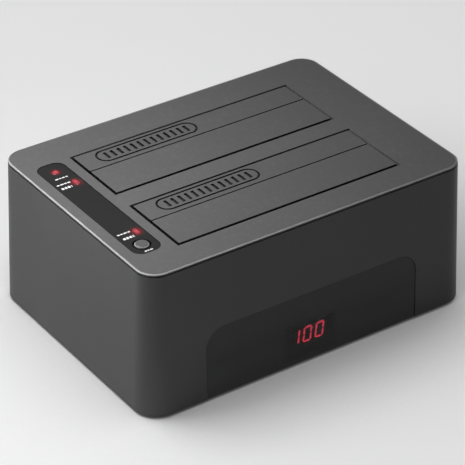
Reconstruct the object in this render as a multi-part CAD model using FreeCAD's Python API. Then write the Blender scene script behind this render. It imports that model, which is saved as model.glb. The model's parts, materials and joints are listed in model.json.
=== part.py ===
import FreeCAD, Part
import os
from math import cos, pi, radians, sin, sqrt
from FreeCAD import Vector as V

# Drive duplicator: a desk-top dock with two top-loading bays for hard drives.
# Millimetres. Origin: middle of the resting plane under the feet.
# +X to the right, +Y to the back, +Z up. The front is the side with the display window.

# ---------------------------------------------------------------- drives
drive_width = 101.6           # a 3.5 inch drive across its short side, lies along X
drive_thickness = 26.1        # a 3.5 inch drive, lies along Y
slim_drive_plane = 3.5        # contact plane of the drive socket above a drive's circuit-board side
socket_shift = 25.0           # drive socket, left of the bay's middle

# ---------------------------------------------------------------- outside form
left_margin = 21.9            # housing's left edge to the bay openings
right_margin = 22.6
front_margin = 13.1
rear_margin = 16.7
body_height = 63.0            # lower edge of the housing to the top face
foot_drop = 1.5               # the feet hold the housing this far off the table
corner_radius = 8.3
draft_out = 2.2               # the lower edge stands this far outside the top edge
wall = 2.2
cover_thickness = 2.4
rim_height = 1.05             # edge of the cover, flush with the housing
rim_chamfer = 0.45
groove_height = 0.4           # shadow groove under the rim
groove_depth = 0.6
skirt_wall = 1.2
skirt_depth = 2.6
seat_gap = 0.15               # between fixed pieces that slide together
moving_gap = 0.3              # least room round a moving piece
overlap = 0.5                 # how far a rib or boss runs into the wall that carries it
cut_past = 1.0                # how far a cutter runs past the face that it opens

# ---------------------------------------------------------------- bays and flaps
bay_end_room = 1.7            # opening longer than the drive, at each end
flap_room = 4.15              # opening wider than the drive, at each side
bay_rib = 9.6                 # cover between the two openings
flap_gap = 1.2                # shadow gap between a flap and the opening
parting_gap = 0.6             # between the two flaps of a bay
flap_thickness = 2.0
flap_proud = 0.1
narrow_flap_width = 14.1      # from the opening's back edge to the parting
tip_bevel = 0.5
flap_rib = 1.0
flap_rib_depth = 1.0
flap_rib_count = 5
drive_clearance = 0.3
open_angle = 90.0
badge_length = 47.1           # racetrack line on the narrow flap
badge_width = 9.4
badge_line = 0.9
badge_start = 8.4
badge_groove = 0.5
tick_count = 13
tick_width = 1.3
tick_length = 4.8

# ---------------------------------------------------------------- hinges
pin_radius = 0.75
pin_running_gap = 0.05
knuckle_radius = 1.3
knuckle_length = 8.0
knuckle_inset = 5.0           # knuckle from the flap's end
knuckle_blend = 5.2           # slope from the knuckle to the flap, from the pin's axis
spring_wire = 0.5
spring_turns = 4
spring_inset = 24.0           # spring from the flap's end
spring_leg = 6.5
lug_reach = 1.9               # stop lug past the flap's end
lug_length = 3.0
lug_height = 0.9
lug_inset = 3.0               # stop lug from the flap's tip

# ---------------------------------------------------------------- bay wells
well_wall = 1.4
well_floor = 1.6
lead_in = 5.0                 # height of the slope that leads the drive in
end_guide_gap = 0.4           # drive guide past the drive, at each end
side_guide_gap = 0.4
gusset_count = 4
gusset_thickness = 1.4
ear_radius = 2.5
ear_offset = 2.7              # ear's screw from the well's end wall
ear_thickness = 2.0
ear_boss = 3.0
ear_spread = 13.5             # ear screws from the bay's middle, along Y: front one left, back one right

# ---------------------------------------------------------------- indicator panel
panel_start = 2.2             # from the front bay's front edge
panel_overrun = 0.1           # past the rear bay's back edge
panel_width = 12.4
panel_edge = 4.3              # from the panel to the bay openings
panel_radius = 4.5
panel_thickness = 0.8
panel_sink = 0.15
button_radius = 3.0
button_hole_gap = 0.65
button_proud = 0.3
button_chamfer = 0.5
button_place = 8.7            # from the front bay's front edge
button_x = 10.6               # left of the bay openings
button_travel = 0.8
button_flange = 0.7
button_flange_thickness = 0.9
button_stem_radius = 2.0
bar_length = 4.4
bar_width = 2.0
bar_bevel = 0.55
bar_x = 7.4
target_bar_place = 17.5
source_bar_place = 61.2
power_light_radius = 1.6
power_light_x = 10.3
power_light_place = 71.9
light_proud = 0.15

# ---------------------------------------------------------------- button board
button_board_drop = 7.5       # underside of the cover to the top of the button board
small_board = 1.2
panel_screw_bite = 4.0        # thread of the button board's screws in the cover's posts
button_board_width = 10.2
button_board_edge = 5.4       # board's right edge, left of the bay openings
button_board_end = 1.0        # board's ends inside the panel's ends
button_board_notch = 1.0      # notch round a screw boss
led_size = 3.2
led_height = 1.9
switch_size = 6.2
switch_height = 3.4
plunger_radius = 1.7
plunger_height = 2.7
plunger_gap = 0.15
panel_post_radius = 2.3
panel_post_gap = 9.0          # posts from the bar lights, along Y

# ---------------------------------------------------------------- window and display
window_width = 100.2
window_height = 30.5
window_radius = 8.3
window_thickness = 1.4
window_sink = 0.2
window_land = 2.6
display_width = 19.0
display_height = 10.0
display_depth = 6.2
display_z = 10.3              # middle of the display above the housing's lower edge
display_x = -1.4              # and left of the housing's middle
display_bevel = 0.4
display_aperture_gap = 0.5
digit_height = 7.2
digit_width = 4.1
digit_pitch = 5.8
digit_slant = 0.10
segment_width = 0.75
segment_thickness = 0.15
segment_gap = 0.12            # between the ends of two bars
display_board_width = 40.0
display_board_height = 20.0
header_length = 16.0
header_height = 4.5
header_reach = 4.0            # connector over the main board's front edge

# ---------------------------------------------------------------- base
base_thickness = 2.2
base_recess = 0.4
post_radius = 3.1
post_edge = 7.2               # corner posts from the housing's face
screw_radius = 1.2
screw_length = 9.0
screw_head_radius = 2.4
screw_head_height = 1.2
cross_length = 2.9            # slots of the screw heads
cross_width = 0.62
pan_head_radius = 1.9         # inner screws
pan_head_height = 1.2
foot_radius = 5.5
foot_edge = 15.5
vent_count = 9
vent_width = 2.4
vent_length = 22.0
vent_pitch = 5.6
vent_spread = 31.0            # vent groups from the middle, along X
guide_width = 6.0             # fins of the base that hold the display board upright
guide_height = 6.0
guide_thickness = 1.6

# ---------------------------------------------------------------- main board and its sockets
board_thickness = 1.6
board_lift = 5.0              # base plate to board
board_side_gap = 12.0         # board from the housing's side face
board_front_gap = 10.8
board_rear_gap = 5.6
board_post_radius = 2.8
board_post_edge = 5.0
board_screw_bite = 4.0
sata_length = 37.6
sata_width = 5.6
sata_height = 9.4
sata_proud = 1.4              # socket above the well's floor
signal_slot = 9.2
power_slot = 21.4
slot_web = 2.4
slot_width = 1.5
slot_key = 2.9
slot_depth = 5.6
contact_pitch = 1.27
signal_contacts = 7
power_contacts = 15
contact_width = 0.6
contact_thickness = 0.25
contact_recess = 0.9          # blades' tips below the socket's top
usb_edge = 55.6               # middle of the USB socket, from the housing's right side
usb_width = 12.0
usb_height = 12.8
usb_depth = 17.0
usb_shell = 0.6
usb_back = 3.0                # closed end of the socket
usb_mouth_width = 8.4         # lower part of the mouth
usb_mouth_height = 7.8
usb_mouth_bevel = 1.6
usb_tongue_width = 5.6
usb_tongue_height = 3.2
usb_tongue_lift = 2.3
usb_tongue_recess = 1.5
usb_upper_width = 4.0         # tongue in the upper part of the mouth
usb_upper_height = 1.4
usb_upper_lift = 8.6
usb_upper_recess = 2.5
jack_pitch = 34.0             # power jack, left of the USB socket
jack_width = 9.0
jack_height = 11.0
jack_depth = 14.0
jack_bore = 3.2
jack_bore_depth = 9.5
jack_nose_wall = 1.0
jack_nose_length = 3.5
jack_pin_radius = 1.05
jack_pin_recess = 1.5
power_button_edge = 33.6      # middle of the power button, from the housing's left side
power_button_radius = 4.8
power_button_depth = 4.6
power_button_bevel = 0.5
power_button_travel = 1.5
power_button_rim = 0.2        # button past the rear face
power_switch_size = 8.0
power_switch_depth = 11.0
power_plunger = 3.0
power_plunger_length = 6.0
rear_hole_gap = 0.25

# ---------------------------------------------------------------- parts on the main board
chip_bevel = 0.3
controller_size = 12.0
controller_height = 1.4
controller_place = 8.0        # right of the bays' middle
bridge_size = 9.0
bridge_height = 1.2
bridge_place = 18.0
inductor_size = 6.5
inductor_height = 3.0
inductor_pitch = 9.0
inductor_count = 3
capacitor_radius = 3.15
capacitor_height = 7.7
capacitor_pitch = 8.5
capacitor_edge = 4.2          # cans from the board's right edge
capacitor_count = 5
crystal_length = 10.2
crystal_width = 3.8
crystal_height = 3.5
crystal_bevel = 1.2
crystal_place = 24.0          # first crystal, right of the bays' middle
crystal_pitch = 13.0
crystal_count = 2

# ---------------------------------------------------------------- flat cable
cable_offset = 0.5            # left of the button board's middle
cable_width = 8.0
cable_thickness = 0.35
cable_bow = 1.6
plug_length = 11.0
plug_depth = 3.6
plug_height = 2.2

# ---------------------------------------------------------------- worked out from the sizes above
bay_length = drive_width + 2 * bay_end_room
bay_width = drive_thickness + 2 * flap_room
bay_pitch = bay_width + bay_rib
body_width = left_margin + bay_length + right_margin
body_depth = front_margin + bay_width + bay_pitch + rear_margin
bottom_z = foot_drop
top_z = foot_drop + body_height
cover_under = top_z - cover_thickness
rim_z = top_z - rim_height
land_z = rim_z - groove_height
bay_left = left_margin - body_width / 2
bay_x = bay_left + bay_length / 2
bay_front = front_margin - body_depth / 2
front_bay_y = bay_front + bay_width / 2
rear_bay_y = front_bay_y + bay_pitch

flap_half = bay_length / 2 - flap_gap
axis_z = cover_under - moving_gap - knuckle_radius
flap_rise = top_z + flap_proud - axis_z
pin_offset = drive_thickness / 2 + drive_clearance + flap_rise
parting = bay_width / 2 - narrow_flap_width
narrow_reach = pin_offset - parting - parting_gap / 2
wide_reach = pin_offset + parting - parting_gap / 2

pocket_half_x = flap_half + lug_reach + moving_gap
pocket_half_y = pin_offset + knuckle_radius + moving_gap
guide_half_x = drive_width / 2 + end_guide_gap
guide_half_y = drive_thickness / 2 + side_guide_gap
pocket_floor = axis_z - sqrt(wide_reach ** 2 + flap_rise ** 2) - moving_gap

base_bottom = bottom_z + base_recess
base_top = base_bottom + base_thickness
board_bottom = base_top + board_lift
board_top = board_bottom + board_thickness
sata_top = board_top + sata_height
well_floor_top = sata_top - sata_proud
sata_x = bay_x - socket_shift
sata_shift_y = drive_thickness / 2 - slim_drive_plane

panel_x = bay_left - panel_edge - panel_width / 2
panel_front = bay_front + panel_start
panel_back = rear_bay_y + bay_width / 2 + panel_overrun
panel_y = (panel_front + panel_back) / 2
panel_length = panel_back - panel_front
panel_top = top_z - panel_sink
panel_seat = panel_top - panel_thickness
button_pos = V(bay_left - button_x, bay_front + button_place, 0)
power_light_pos = V(bay_left - power_light_x, bay_front + power_light_place, 0)
source_bar_pos = V(bay_left - bar_x, bay_front + source_bar_place, 0)
target_bar_pos = V(bay_left - bar_x, bay_front + target_bar_place, 0)
small_board_top = cover_under - button_board_drop
small_board_x = bay_left - button_board_edge - button_board_width / 2
switch_top = small_board_top + switch_height
usb_x = body_width / 2 - usb_edge
jack_x = usb_x - jack_pitch
power_button_x = power_button_edge - body_width / 2
plunger_top = cover_under - moving_gap - button_flange_thickness - button_travel - moving_gap


# ---------------------------------------------------------------- helpers
def block(x0, x1, y0, y1, z0, z1):
    """A box between two corners."""
    return Part.makeBox(x1 - x0, y1 - y0, z1 - z0, V(x0, y0, z0))


def rod(radius, start, end):
    """A cylinder from one point to another."""
    along = end - start
    return Part.makeCylinder(radius, along.Length, start, along)


def post(radius, x, y, z0, z1):
    """An upright cylinder."""
    return rod(radius, V(x, y, z0), V(x, y, z1))


def stud(radius, x, y, z0, z1, sides=8):
    """An upright bar with flat sides, for small bosses, screws and their holes."""
    corners = [V(x + radius * cos(2 * pi * number / sides), y + radius * sin(2 * pi * number / sides), z0)
               for number in range(sides)]
    face = Part.Face(Part.makePolygon(corners + corners[:1]))
    return face.extrude(V(0, 0, z1 - z0))


def joined(first, others):
    """One solid from pieces that overlap."""
    return first.fuse(others).removeSplitter()


def extrude_x(points, x0, x1):
    """A profile of (y, z) points pulled along X."""
    corners = [V(x0, y, z) for y, z in points]
    face = Part.Face(Part.makePolygon(corners + corners[:1]))
    return face.extrude(V(x1 - x0, 0, 0))


def flat_loft(rings):
    """A solid with flat faces between matching rings of corners, each beyond the last."""
    faces = [Part.Face(Part.makePolygon(ring + ring[:1])) for ring in (rings[0][::-1], rings[-1])]
    for near, far in zip(rings, rings[1:]):
        for number, corner in enumerate(near):
            following = (number + 1) % len(near)
            corners = [corner, near[following], far[following], far[number]]
            faces.append(Part.Face(Part.makePolygon(corners + corners[:1])))
    return Part.Solid(Part.Shell(faces))


def corner_arcs(width, depth, radius, z, x, y, steps):
    """Points round the four corners of a rectangle in plan, each quarter turn in equal steps."""
    half_x = width / 2 - radius
    half_y = depth / 2 - radius
    corners = ((half_x, half_y, 0), (-half_x, half_y, 90), (-half_x, -half_y, 180), (half_x, -half_y, 270))
    arcs = []
    for corner_x, corner_y, turn in corners:
        arc = []
        for step in range(steps + 1):
            angle = radians(turn + 90 * step / steps)
            arc.append(V(x + corner_x + radius * cos(angle), y + corner_y + radius * sin(angle), z))
        arcs.append(arc)
    return arcs


def outline(width, depth, radius, z, x=0.0, y=0.0):
    """A rectangle in plan with round corners, as a closed wire."""
    arcs = corner_arcs(width, depth, radius, z, x, y, 2)
    edges = []
    for number, arc in enumerate(arcs):
        following = arcs[(number + 1) % 4]
        edges.append(Part.Arc(*arc).toShape())
        edges.append(Part.makeLine(arc[2], following[0]))
    return Part.Wire(edges)


def slab(width, depth, radius, z0, z1, x=0.0, y=0.0):
    """An upright prism on a round-cornered rectangle."""
    return Part.Face(outline(width, depth, radius, z0, x, y)).extrude(V(0, 0, z1 - z0))


def body_size(z, inset):
    """Width, depth and corner radius of the housing at a height, moved inwards by the inset."""
    spread = draft_out * (top_z - z) / body_height - inset
    return body_width + 2 * spread, body_depth + 2 * spread, corner_radius + spread


def body_form(sections):
    """The drafted body between outlines given as (height, inset)."""
    return Part.makeLoft([outline(*body_size(z, inset), z) for z, inset in sections], True, True)


def inner_form(inset, z0, z1):
    """The hollow inside the walls, or a plate that fits it, with flats round its corners."""
    rings = []
    for z in (z0, z1):
        width, depth, radius = body_size(z, inset)
        rings.append(sum(corner_arcs(width, depth, radius, z, 0, 0, 3), []))
    return flat_loft(rings)


def stepped(sections, x, y):
    """A tube core or shell through rectangles given as (height, half length, half width)."""
    rings = []
    for z, half_x, half_y in sections:
        rings.append([V(x - half_x, y - half_y, z), V(x + half_x, y - half_y, z),
                      V(x + half_x, y + half_y, z), V(x - half_x, y + half_y, z)])
    return flat_loft(rings)


def face_y(z):
    """How far the housing's front and rear faces stand from the middle at a height."""
    return body_depth / 2 + draft_out * (top_z - z) / body_height


def corner_spots(edge):
    """Four places in plan at one distance from the housing's faces."""
    x = body_width / 2 - edge
    y = body_depth / 2 - edge
    return [(side_x * x, side_y * y) for side_x in (-1, 1) for side_y in (-1, 1)]


def window_arch(grow, y0, y1):
    """The window's arch, grown outwards, pulled along Y. It runs out at the lower edge."""
    half = window_width / 2 + grow
    crown = bottom_z + window_height + grow
    radius = window_radius + grow
    foot = bottom_z - (grow if grow > 0 else 0)
    turn = radius * (1 - cos(radians(45)))
    left_arc = Part.Arc(V(-half, y0, crown - radius), V(-half + turn, y0, crown - turn),
                        V(-half + radius, y0, crown))
    right_arc = Part.Arc(V(half - radius, y0, crown), V(half - turn, y0, crown - turn),
                         V(half, y0, crown - radius))
    edges = [Part.makeLine(V(-half, y0, foot), V(-half, y0, crown - radius)), left_arc.toShape(),
             Part.makeLine(V(-half + radius, y0, crown), V(half - radius, y0, crown)), right_arc.toShape(),
             Part.makeLine(V(half, y0, crown - radius), V(half, y0, foot)),
             Part.makeLine(V(half, y0, foot), V(-half, y0, foot))]
    return Part.Face(Part.Wire(edges)).extrude(V(0, y1 - y0, 0))


def ear_spots(bay_y):
    """Where a well is screwed to the cover, at two opposite corners: (x, y, side)."""
    reach = pocket_half_x + well_wall + ear_offset
    return [(bay_x + side * reach, bay_y + side * ear_spread, side) for side in (-1, 1)]


def all_ear_spots():
    """The screws of both wells."""
    return ear_spots(front_bay_y) + ear_spots(rear_bay_y)


def panel_post_spots():
    """Where the button board is screwed to the cover."""
    x = small_board_x - button_board_width / 2 + panel_post_radius
    return [(x, target_bar_pos.y + panel_post_gap), (x, source_bar_pos.y - panel_post_gap)]


# ---------------------------------------------------------------- shells
def make_cover():
    """Top plate with a bevelled rim, shadow step, skirt, bay openings and corner posts."""
    cover = body_form([(rim_z, 0), (top_z - rim_chamfer, 0), (top_z, rim_chamfer)])
    step = body_form([(land_z, groove_depth), (rim_z, groove_depth)])
    plate = inner_form(wall + seat_gap, cover_under, land_z)
    added = [step, plate] + cover_skirt()
    for x, y in corner_spots(post_edge):
        added.append(stud(post_radius, x, y, base_top, cover_under))
    for x, y, side in all_ear_spots():
        added.append(stud(ear_radius, x, y, cover_under - ear_boss, cover_under))
    for x, y in panel_post_spots():
        added.append(stud(panel_post_radius, x, y, small_board_top, cover_under))
    cover = joined(cover, added)
    removed = []
    below = cover_under - cut_past
    for bay_y in (front_bay_y, rear_bay_y):
        removed.append(block(bay_x - bay_length / 2, bay_x + bay_length / 2, bay_y - bay_width / 2,
                             bay_y + bay_width / 2, below, top_z + cut_past))
    removed.append(slab(panel_width, panel_length, panel_radius, panel_seat, top_z + cut_past,
                        panel_x, panel_y))
    hole = button_radius + button_hole_gap + seat_gap
    removed.append(stud(hole, button_pos.x, button_pos.y, below, top_z, 16))
    hole = power_light_radius + 2 * seat_gap
    removed.append(stud(hole, power_light_pos.x, power_light_pos.y, below, top_z))
    for spot in (source_bar_pos, target_bar_pos):
        half_x = bar_width / 2 + seat_gap
        half_y = bar_length / 2 + seat_gap
        removed.append(block(spot.x - half_x, spot.x + half_x, spot.y - half_y, spot.y + half_y,
                             below, top_z))
    for x, y in corner_spots(post_edge):
        removed.append(stud(screw_radius, x, y, base_top, base_bottom + screw_length))
    for x, y, side in all_ear_spots():
        removed.append(stud(screw_radius, x, y, cover_under - ear_boss, cover_under))
    for x, y in panel_post_spots():
        removed.append(stud(screw_radius, x, y, small_board_top, small_board_top + panel_screw_bite))
    return cover.cut(removed)


def cover_skirt():
    """Four straight strips under the cover that locate it inside the housing's walls."""
    x = body_width / 2 - wall - seat_gap
    y = body_depth / 2 - wall - seat_gap
    low = cover_under - skirt_depth
    high = cover_under
    end = corner_radius
    strips = []
    for side in (-1, 1):
        near = sorted((side * x, side * (x - skirt_wall)))
        strips.append(block(near[0], near[1], end - y, y - end, low, high))
        near = sorted((side * y, side * (y - skirt_wall)))
        strips.append(block(end - x, x - end, near[0], near[1], low, high))
    return strips


def make_housing():
    """Four drafted walls with the window seat in front and the socket openings behind."""
    outer = body_form([(bottom_z, 0), (land_z, 0)])
    housing = outer.cut(inner_form(wall, bottom_z - cut_past, land_z + cut_past))
    y0 = -face_y(bottom_z) - cut_past
    seat = window_arch(seat_gap, y0, 0)
    seat_floor = window_sink + window_thickness
    seat = seat.cut(body_form([(bottom_z - cut_past, seat_floor), (land_z, seat_floor)]))
    half = display_width / 2 + display_aperture_gap
    middle = bottom_z + display_z
    tall = display_height / 2 + display_aperture_gap
    aperture = block(display_x - half, display_x + half, y0, y0 + 3 * wall, middle - tall, middle + tall)
    housing = housing.cut([seat, aperture] + rear_openings())
    return joined(housing, [window_ledge_ribs()])


def window_ledge_ribs():
    """Two upright ribs behind the window seat, which stiffen the thin wall."""
    ribs = []
    for side in (-1, 1):
        x = side * (window_width / 2 - window_land - wall)
        rib = block(x - wall / 2, x + wall / 2, -body_depth / 2, -body_depth / 2 + 2 * wall,
                    base_top + seat_gap, bottom_z + window_height)
        ribs.append(rib)
    behind_seat = window_sink + window_thickness + seat_gap
    inner = body_form([(bottom_z - cut_past, behind_seat), (land_z, behind_seat)])
    return Part.makeCompound(ribs).common(inner)


def rear_openings():
    """Cutters for the USB socket, the power jack and the power button."""
    y0 = body_depth / 2 - 2 * wall
    y1 = face_y(bottom_z) + cut_past
    gap = rear_hole_gap
    usb = block(usb_x - usb_width / 2 - gap, usb_x + usb_width / 2 + gap, y0, y1,
                board_top - gap, board_top + usb_height + gap)
    jack_z = board_top + jack_height / 2
    jack = rod(jack_bore + jack_nose_wall + gap, V(jack_x, y0, jack_z), V(jack_x, y1, jack_z))
    button_z = board_top + power_switch_size / 2
    button = rod(power_button_radius + moving_gap, V(power_button_x, y0, button_z),
                 V(power_button_x, y1, button_z))
    return [usb, jack, button]


def make_window():
    """Smoked front panel, bent to the drafted face."""
    arch = window_arch(0, -face_y(bottom_z) - cut_past, -body_depth / 2 + wall)
    skin = body_form([(bottom_z, window_sink), (land_z, window_sink)])
    back = window_sink + window_thickness
    skin = skin.cut(body_form([(bottom_z - cut_past, back), (land_z + cut_past, back)]))
    return arch.common(skin)


def make_base():
    """Bottom plate with vents, board posts, display guides and sunk screw heads."""
    inset = wall + seat_gap
    base = inner_form(inset, base_bottom, base_top)
    added = []
    for x, y in board_post_spots():
        added.append(stud(board_post_radius, x, y, base_top, board_bottom))
    back = display_back_y()
    rear = back + small_board + seat_gap
    for side in (-1, 1):
        x0 = side * display_board_width / 2 - guide_width / 2 - side * guide_width / 2
        x1 = x0 + guide_width
        top = base_top + guide_height
        added.append(block(x0, x1, back - seat_gap - guide_thickness, back - seat_gap, base_top, top))
        added.append(block(x0, x1, rear, rear + guide_thickness, base_top, top))
    base = joined(base, added)
    removed = []
    for x, y in board_post_spots():
        removed.append(stud(screw_radius, x, y, board_bottom - board_screw_bite, board_bottom))
    for x, y in corner_spots(post_edge):
        removed.append(stud(screw_radius + seat_gap, x, y, base_bottom, base_top))
        removed.append(stud(screw_head_radius + seat_gap, x, y, base_bottom, base_bottom + screw_head_height))
    for side in (-1, 1):
        for number in range(vent_count):
            x = side * vent_spread
            y = (number - (vent_count - 1) / 2) * vent_pitch
            removed.append(block(x - vent_length / 2, x + vent_length / 2,
                                 y - vent_width / 2, y + vent_width / 2, base_bottom, base_top))
    return base.cut(removed)


def make_feet():
    """Four round rubber feet under the base."""
    return Part.makeCompound([post(foot_radius, x, y, 0, base_bottom) for x, y in corner_spots(foot_edge)])


# ---------------------------------------------------------------- bay wells
def make_well(bay_y):
    """Pocket for the open flaps above, sloped lead-in, drive guide and floor below."""
    lead_z = pocket_floor - lead_in
    outer = [(well_floor_top - well_floor, guide_half_x + well_wall, guide_half_y + well_wall),
             (lead_z, guide_half_x + well_wall, guide_half_y + well_wall),
             (pocket_floor, pocket_half_x + well_wall, pocket_half_y + well_wall),
             (cover_under, pocket_half_x + well_wall, pocket_half_y + well_wall)]
    inner = [(well_floor_top, guide_half_x, guide_half_y), (lead_z, guide_half_x, guide_half_y),
             (pocket_floor, pocket_half_x, pocket_half_y), (cover_under, pocket_half_x, pocket_half_y)]
    well = stepped(outer, bay_x, bay_y)
    added = []
    for side in (-1, 1):
        for number in range(gusset_count):
            x = bay_x + (number - (gusset_count - 1) / 2) * 2 * guide_half_x / gusset_count
            near = bay_y + side * (guide_half_y + well_wall / 2)
            far = bay_y + side * (pocket_half_y + well_wall)
            profile = [(near, well_floor_top), (far, pocket_floor), (near, pocket_floor)]
            added.append(extrude_x(profile, x - gusset_thickness / 2, x + gusset_thickness / 2))
    ear_top = cover_under - ear_boss
    for x, y, side in ear_spots(bay_y):
        added.append(stud(ear_radius, x, y, ear_top - ear_thickness, ear_top))
        inner_x = bay_x + side * (pocket_half_x + well_wall / 2)
        added.append(block(min(x, inner_x), max(x, inner_x), y - ear_radius, y + ear_radius,
                           ear_top - ear_thickness, ear_top))
    well = joined(well, added)
    removed = [stepped(inner, bay_x, bay_y)]
    for x, y, side in ear_spots(bay_y):
        removed.append(stud(screw_radius + seat_gap, x, y, ear_top - ear_thickness, ear_top))
    end = pocket_half_x + well_wall
    for side in (-1, 1):
        y = bay_y + side * pin_offset
        removed.append(block(bay_x - end, bay_x + end, y - pin_radius, y + pin_radius,
                             axis_z - pin_radius, cover_under))
    half_x = sata_length / 2 + seat_gap
    half_y = sata_width / 2 + seat_gap
    socket_y = bay_y + sata_shift_y
    removed.append(block(sata_x - half_x, sata_x + half_x, socket_y - half_y, socket_y + half_y,
                         well_floor_top - well_floor, well_floor_top))
    return well.cut(removed)


# ---------------------------------------------------------------- flaps, pins and springs
def make_flap(bay_y, side, reach):
    """One flap with knuckles, ribs, stop lugs and a bevelled tip. Side +1 hinges at the back of the bay."""
    axis_y = bay_y + side * pin_offset
    top = axis_z + flap_rise
    under = top - flap_thickness
    edge = pin_offset - bay_width / 2 + flap_gap

    def place(inwards):
        return axis_y - side * inwards

    tip = place(reach - tip_bevel)
    profile = [(place(edge), under), (place(edge), top), (place(reach), top), (tip, under)]
    flap = extrude_x(profile, bay_x - flap_half, bay_x + flap_half)
    added = []
    for end in (-1, 1):
        outer = bay_x + end * (flap_half - knuckle_inset)
        inner = outer - end * knuckle_length
        added.append(extrude_x(knuckle_profile(place, edge, under), min(outer, inner), max(outer, inner)))
        added += stop_lug(end, place, reach, under)
    rib_room = 2 * (flap_half - knuckle_inset - knuckle_length)
    near = place(knuckle_blend)
    far = place(reach - lug_inset / 2)
    for number in range(flap_rib_count):
        x = bay_x + (number - (flap_rib_count - 1) / 2) * rib_room / flap_rib_count
        added.append(block(x - flap_rib / 2, x + flap_rib / 2, min(near, far), max(near, far),
                           under - flap_rib_depth, under + overlap))
    flap = joined(flap, added)
    start = V(bay_x - flap_half, axis_y, axis_z)
    bore = rod(pin_radius + pin_running_gap, start, start + V(2 * flap_half, 0, 0))
    return flap.cut(bore)


def knuckle_profile(place, edge, under):
    """Outline of a knuckle: faceted round the pin, flat on top, and blended into the flap."""
    r = knuckle_radius
    points = [(edge, under + overlap - axis_z), (edge, r)]
    points += [(-r * sin(pi * turn / 4), r * cos(pi * turn / 4)) for turn in range(5)]
    points += [(knuckle_blend, under - axis_z), (knuckle_blend, under + overlap - axis_z)]
    return [(place(inwards), axis_z + height) for inwards, height in points]


def stop_lug(end, place, reach, under):
    """Lug at a flap's end that meets the underside of the cover and stops the flap level."""
    top = cover_under - moving_gap
    y0 = place(reach - lug_inset)
    y1 = place(reach - lug_inset - lug_length)
    root = bay_x + end * (flap_half - lug_reach)
    flush = bay_x + end * flap_half
    tip = bay_x + end * (flap_half + lug_reach)
    low = top - lug_height
    stalk = block(min(root, flush), max(root, flush), min(y0, y1), max(y0, y1), low, under + overlap)
    lug = block(min(root, tip), max(root, tip), min(y0, y1), max(y0, y1), low, top)
    return [stalk, lug]


def racetrack(length, width, z0, z1, x, y):
    """An upright bar along X with half-round ends, each made of ten flats."""
    ends = corner_arcs(length, width, width / 2, z0, x, y, 5)
    corners = ends[0] + ends[1][1:] + ends[2] + ends[3][1:]
    return Part.Face(Part.makePolygon(corners + corners[:1])).extrude(V(0, 0, z1 - z0))


def badge_cutters(bay_y):
    """Engraved racetrack line and a row of plain ticks inside it, on the narrow flap."""
    top = top_z + flap_proud
    x = bay_left + badge_start + badge_length / 2
    y = bay_y + bay_width / 2 - narrow_flap_width / 2
    low = top - badge_groove
    high = top + cut_past
    ring = racetrack(badge_length, badge_width, low, high, x, y)
    island = racetrack(badge_length - 2 * badge_line, badge_width - 2 * badge_line, low, high, x, y)
    cutters = [ring.cut(island)]
    pitch = (badge_length - badge_width) / (tick_count - 1)
    for number in range(tick_count):
        tick_x = x + (number - (tick_count - 1) / 2) * pitch
        cutters.append(block(tick_x - tick_width / 2, tick_x + tick_width / 2,
                             y - tick_length / 2, y + tick_length / 2, low, high))
    return cutters


def make_narrow_flap(bay_y):
    """Rear flap of a bay: alone it lets a slim drive in."""
    return make_flap(bay_y, 1, narrow_reach).cut(badge_cutters(bay_y))


def make_wide_flap(bay_y):
    """Front flap of a bay: with the rear one it lets a thick drive in."""
    return make_flap(bay_y, -1, wide_reach)


def make_pins():
    """Four steel hinge pins held in the wells' end walls."""
    pins = []
    end = pocket_half_x + well_wall
    for bay_y in (front_bay_y, rear_bay_y):
        for side in (-1, 1):
            y = bay_y + side * pin_offset
            pins.append(rod(pin_radius, V(bay_x - end, y, axis_z), V(bay_x + end, y, axis_z)))
    return Part.makeCompound(pins)


def ring_corners(x, radius):
    """An eight-sided ring round the X axis, whose flats stand a radius away from it."""
    sides = 8
    reach = radius / cos(pi / sides)
    return [V(x, reach * cos(2 * pi * number / sides), reach * sin(2 * pi * number / sides))
            for number in range(sides)]


def make_spring(bay_y, side):
    """Torsion spring wound round the pin, one leg under the flap and one down the well's wall."""
    axis_y = bay_y + side * pin_offset
    start = bay_x - flap_half + spring_inset
    inner = pin_radius + 2 * pin_running_gap
    outer = inner + spring_wire
    centre = inner + spring_wire / 2
    end = start + spring_turns * spring_wire
    rings = [ring_corners(start, centre)]
    for turn in range(spring_turns):
        x = start + (turn + 0.5) * spring_wire
        rings.append(ring_corners(x, outer))
        rings.append(ring_corners(x + spring_wire / 2, centre))
    coil = flat_loft(rings).cut(flat_loft([ring_corners(start, inner), ring_corners(end, inner)]))
    coil.translate(V(0, axis_y, axis_z))
    under = axis_z + flap_rise - flap_thickness - pin_running_gap
    top = axis_z + outer
    far = axis_y - side * spring_leg
    slope = [(axis_y, top - spring_wire), (axis_y, top), (far, under), (far, under - spring_wire)]
    flap_leg = extrude_x(slope, end - spring_wire, end)
    outer_y = axis_y + side * outer
    inner_y = outer_y - side * spring_wire
    wall_leg = block(start, start + spring_wire, min(inner_y, outer_y), max(inner_y, outer_y),
                     axis_z - spring_leg, axis_z)
    return joined(coil, [flap_leg, wall_leg])


# ---------------------------------------------------------------- indicator panel
def bar_form(spot, grow, z0, z1):
    """An upright bar with bevelled corners on the bar light's outline."""
    half_x = bar_width / 2 + grow
    half_y = bar_length / 2 + grow
    bar = block(spot.x - half_x, spot.x + half_x, spot.y - half_y, spot.y + half_y, z0, z1)
    upright = [edge for edge in bar.Edges if edge.BoundBox.ZLength > 1e-3]
    return bar.makeChamfer(bar_bevel, upright)


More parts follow.
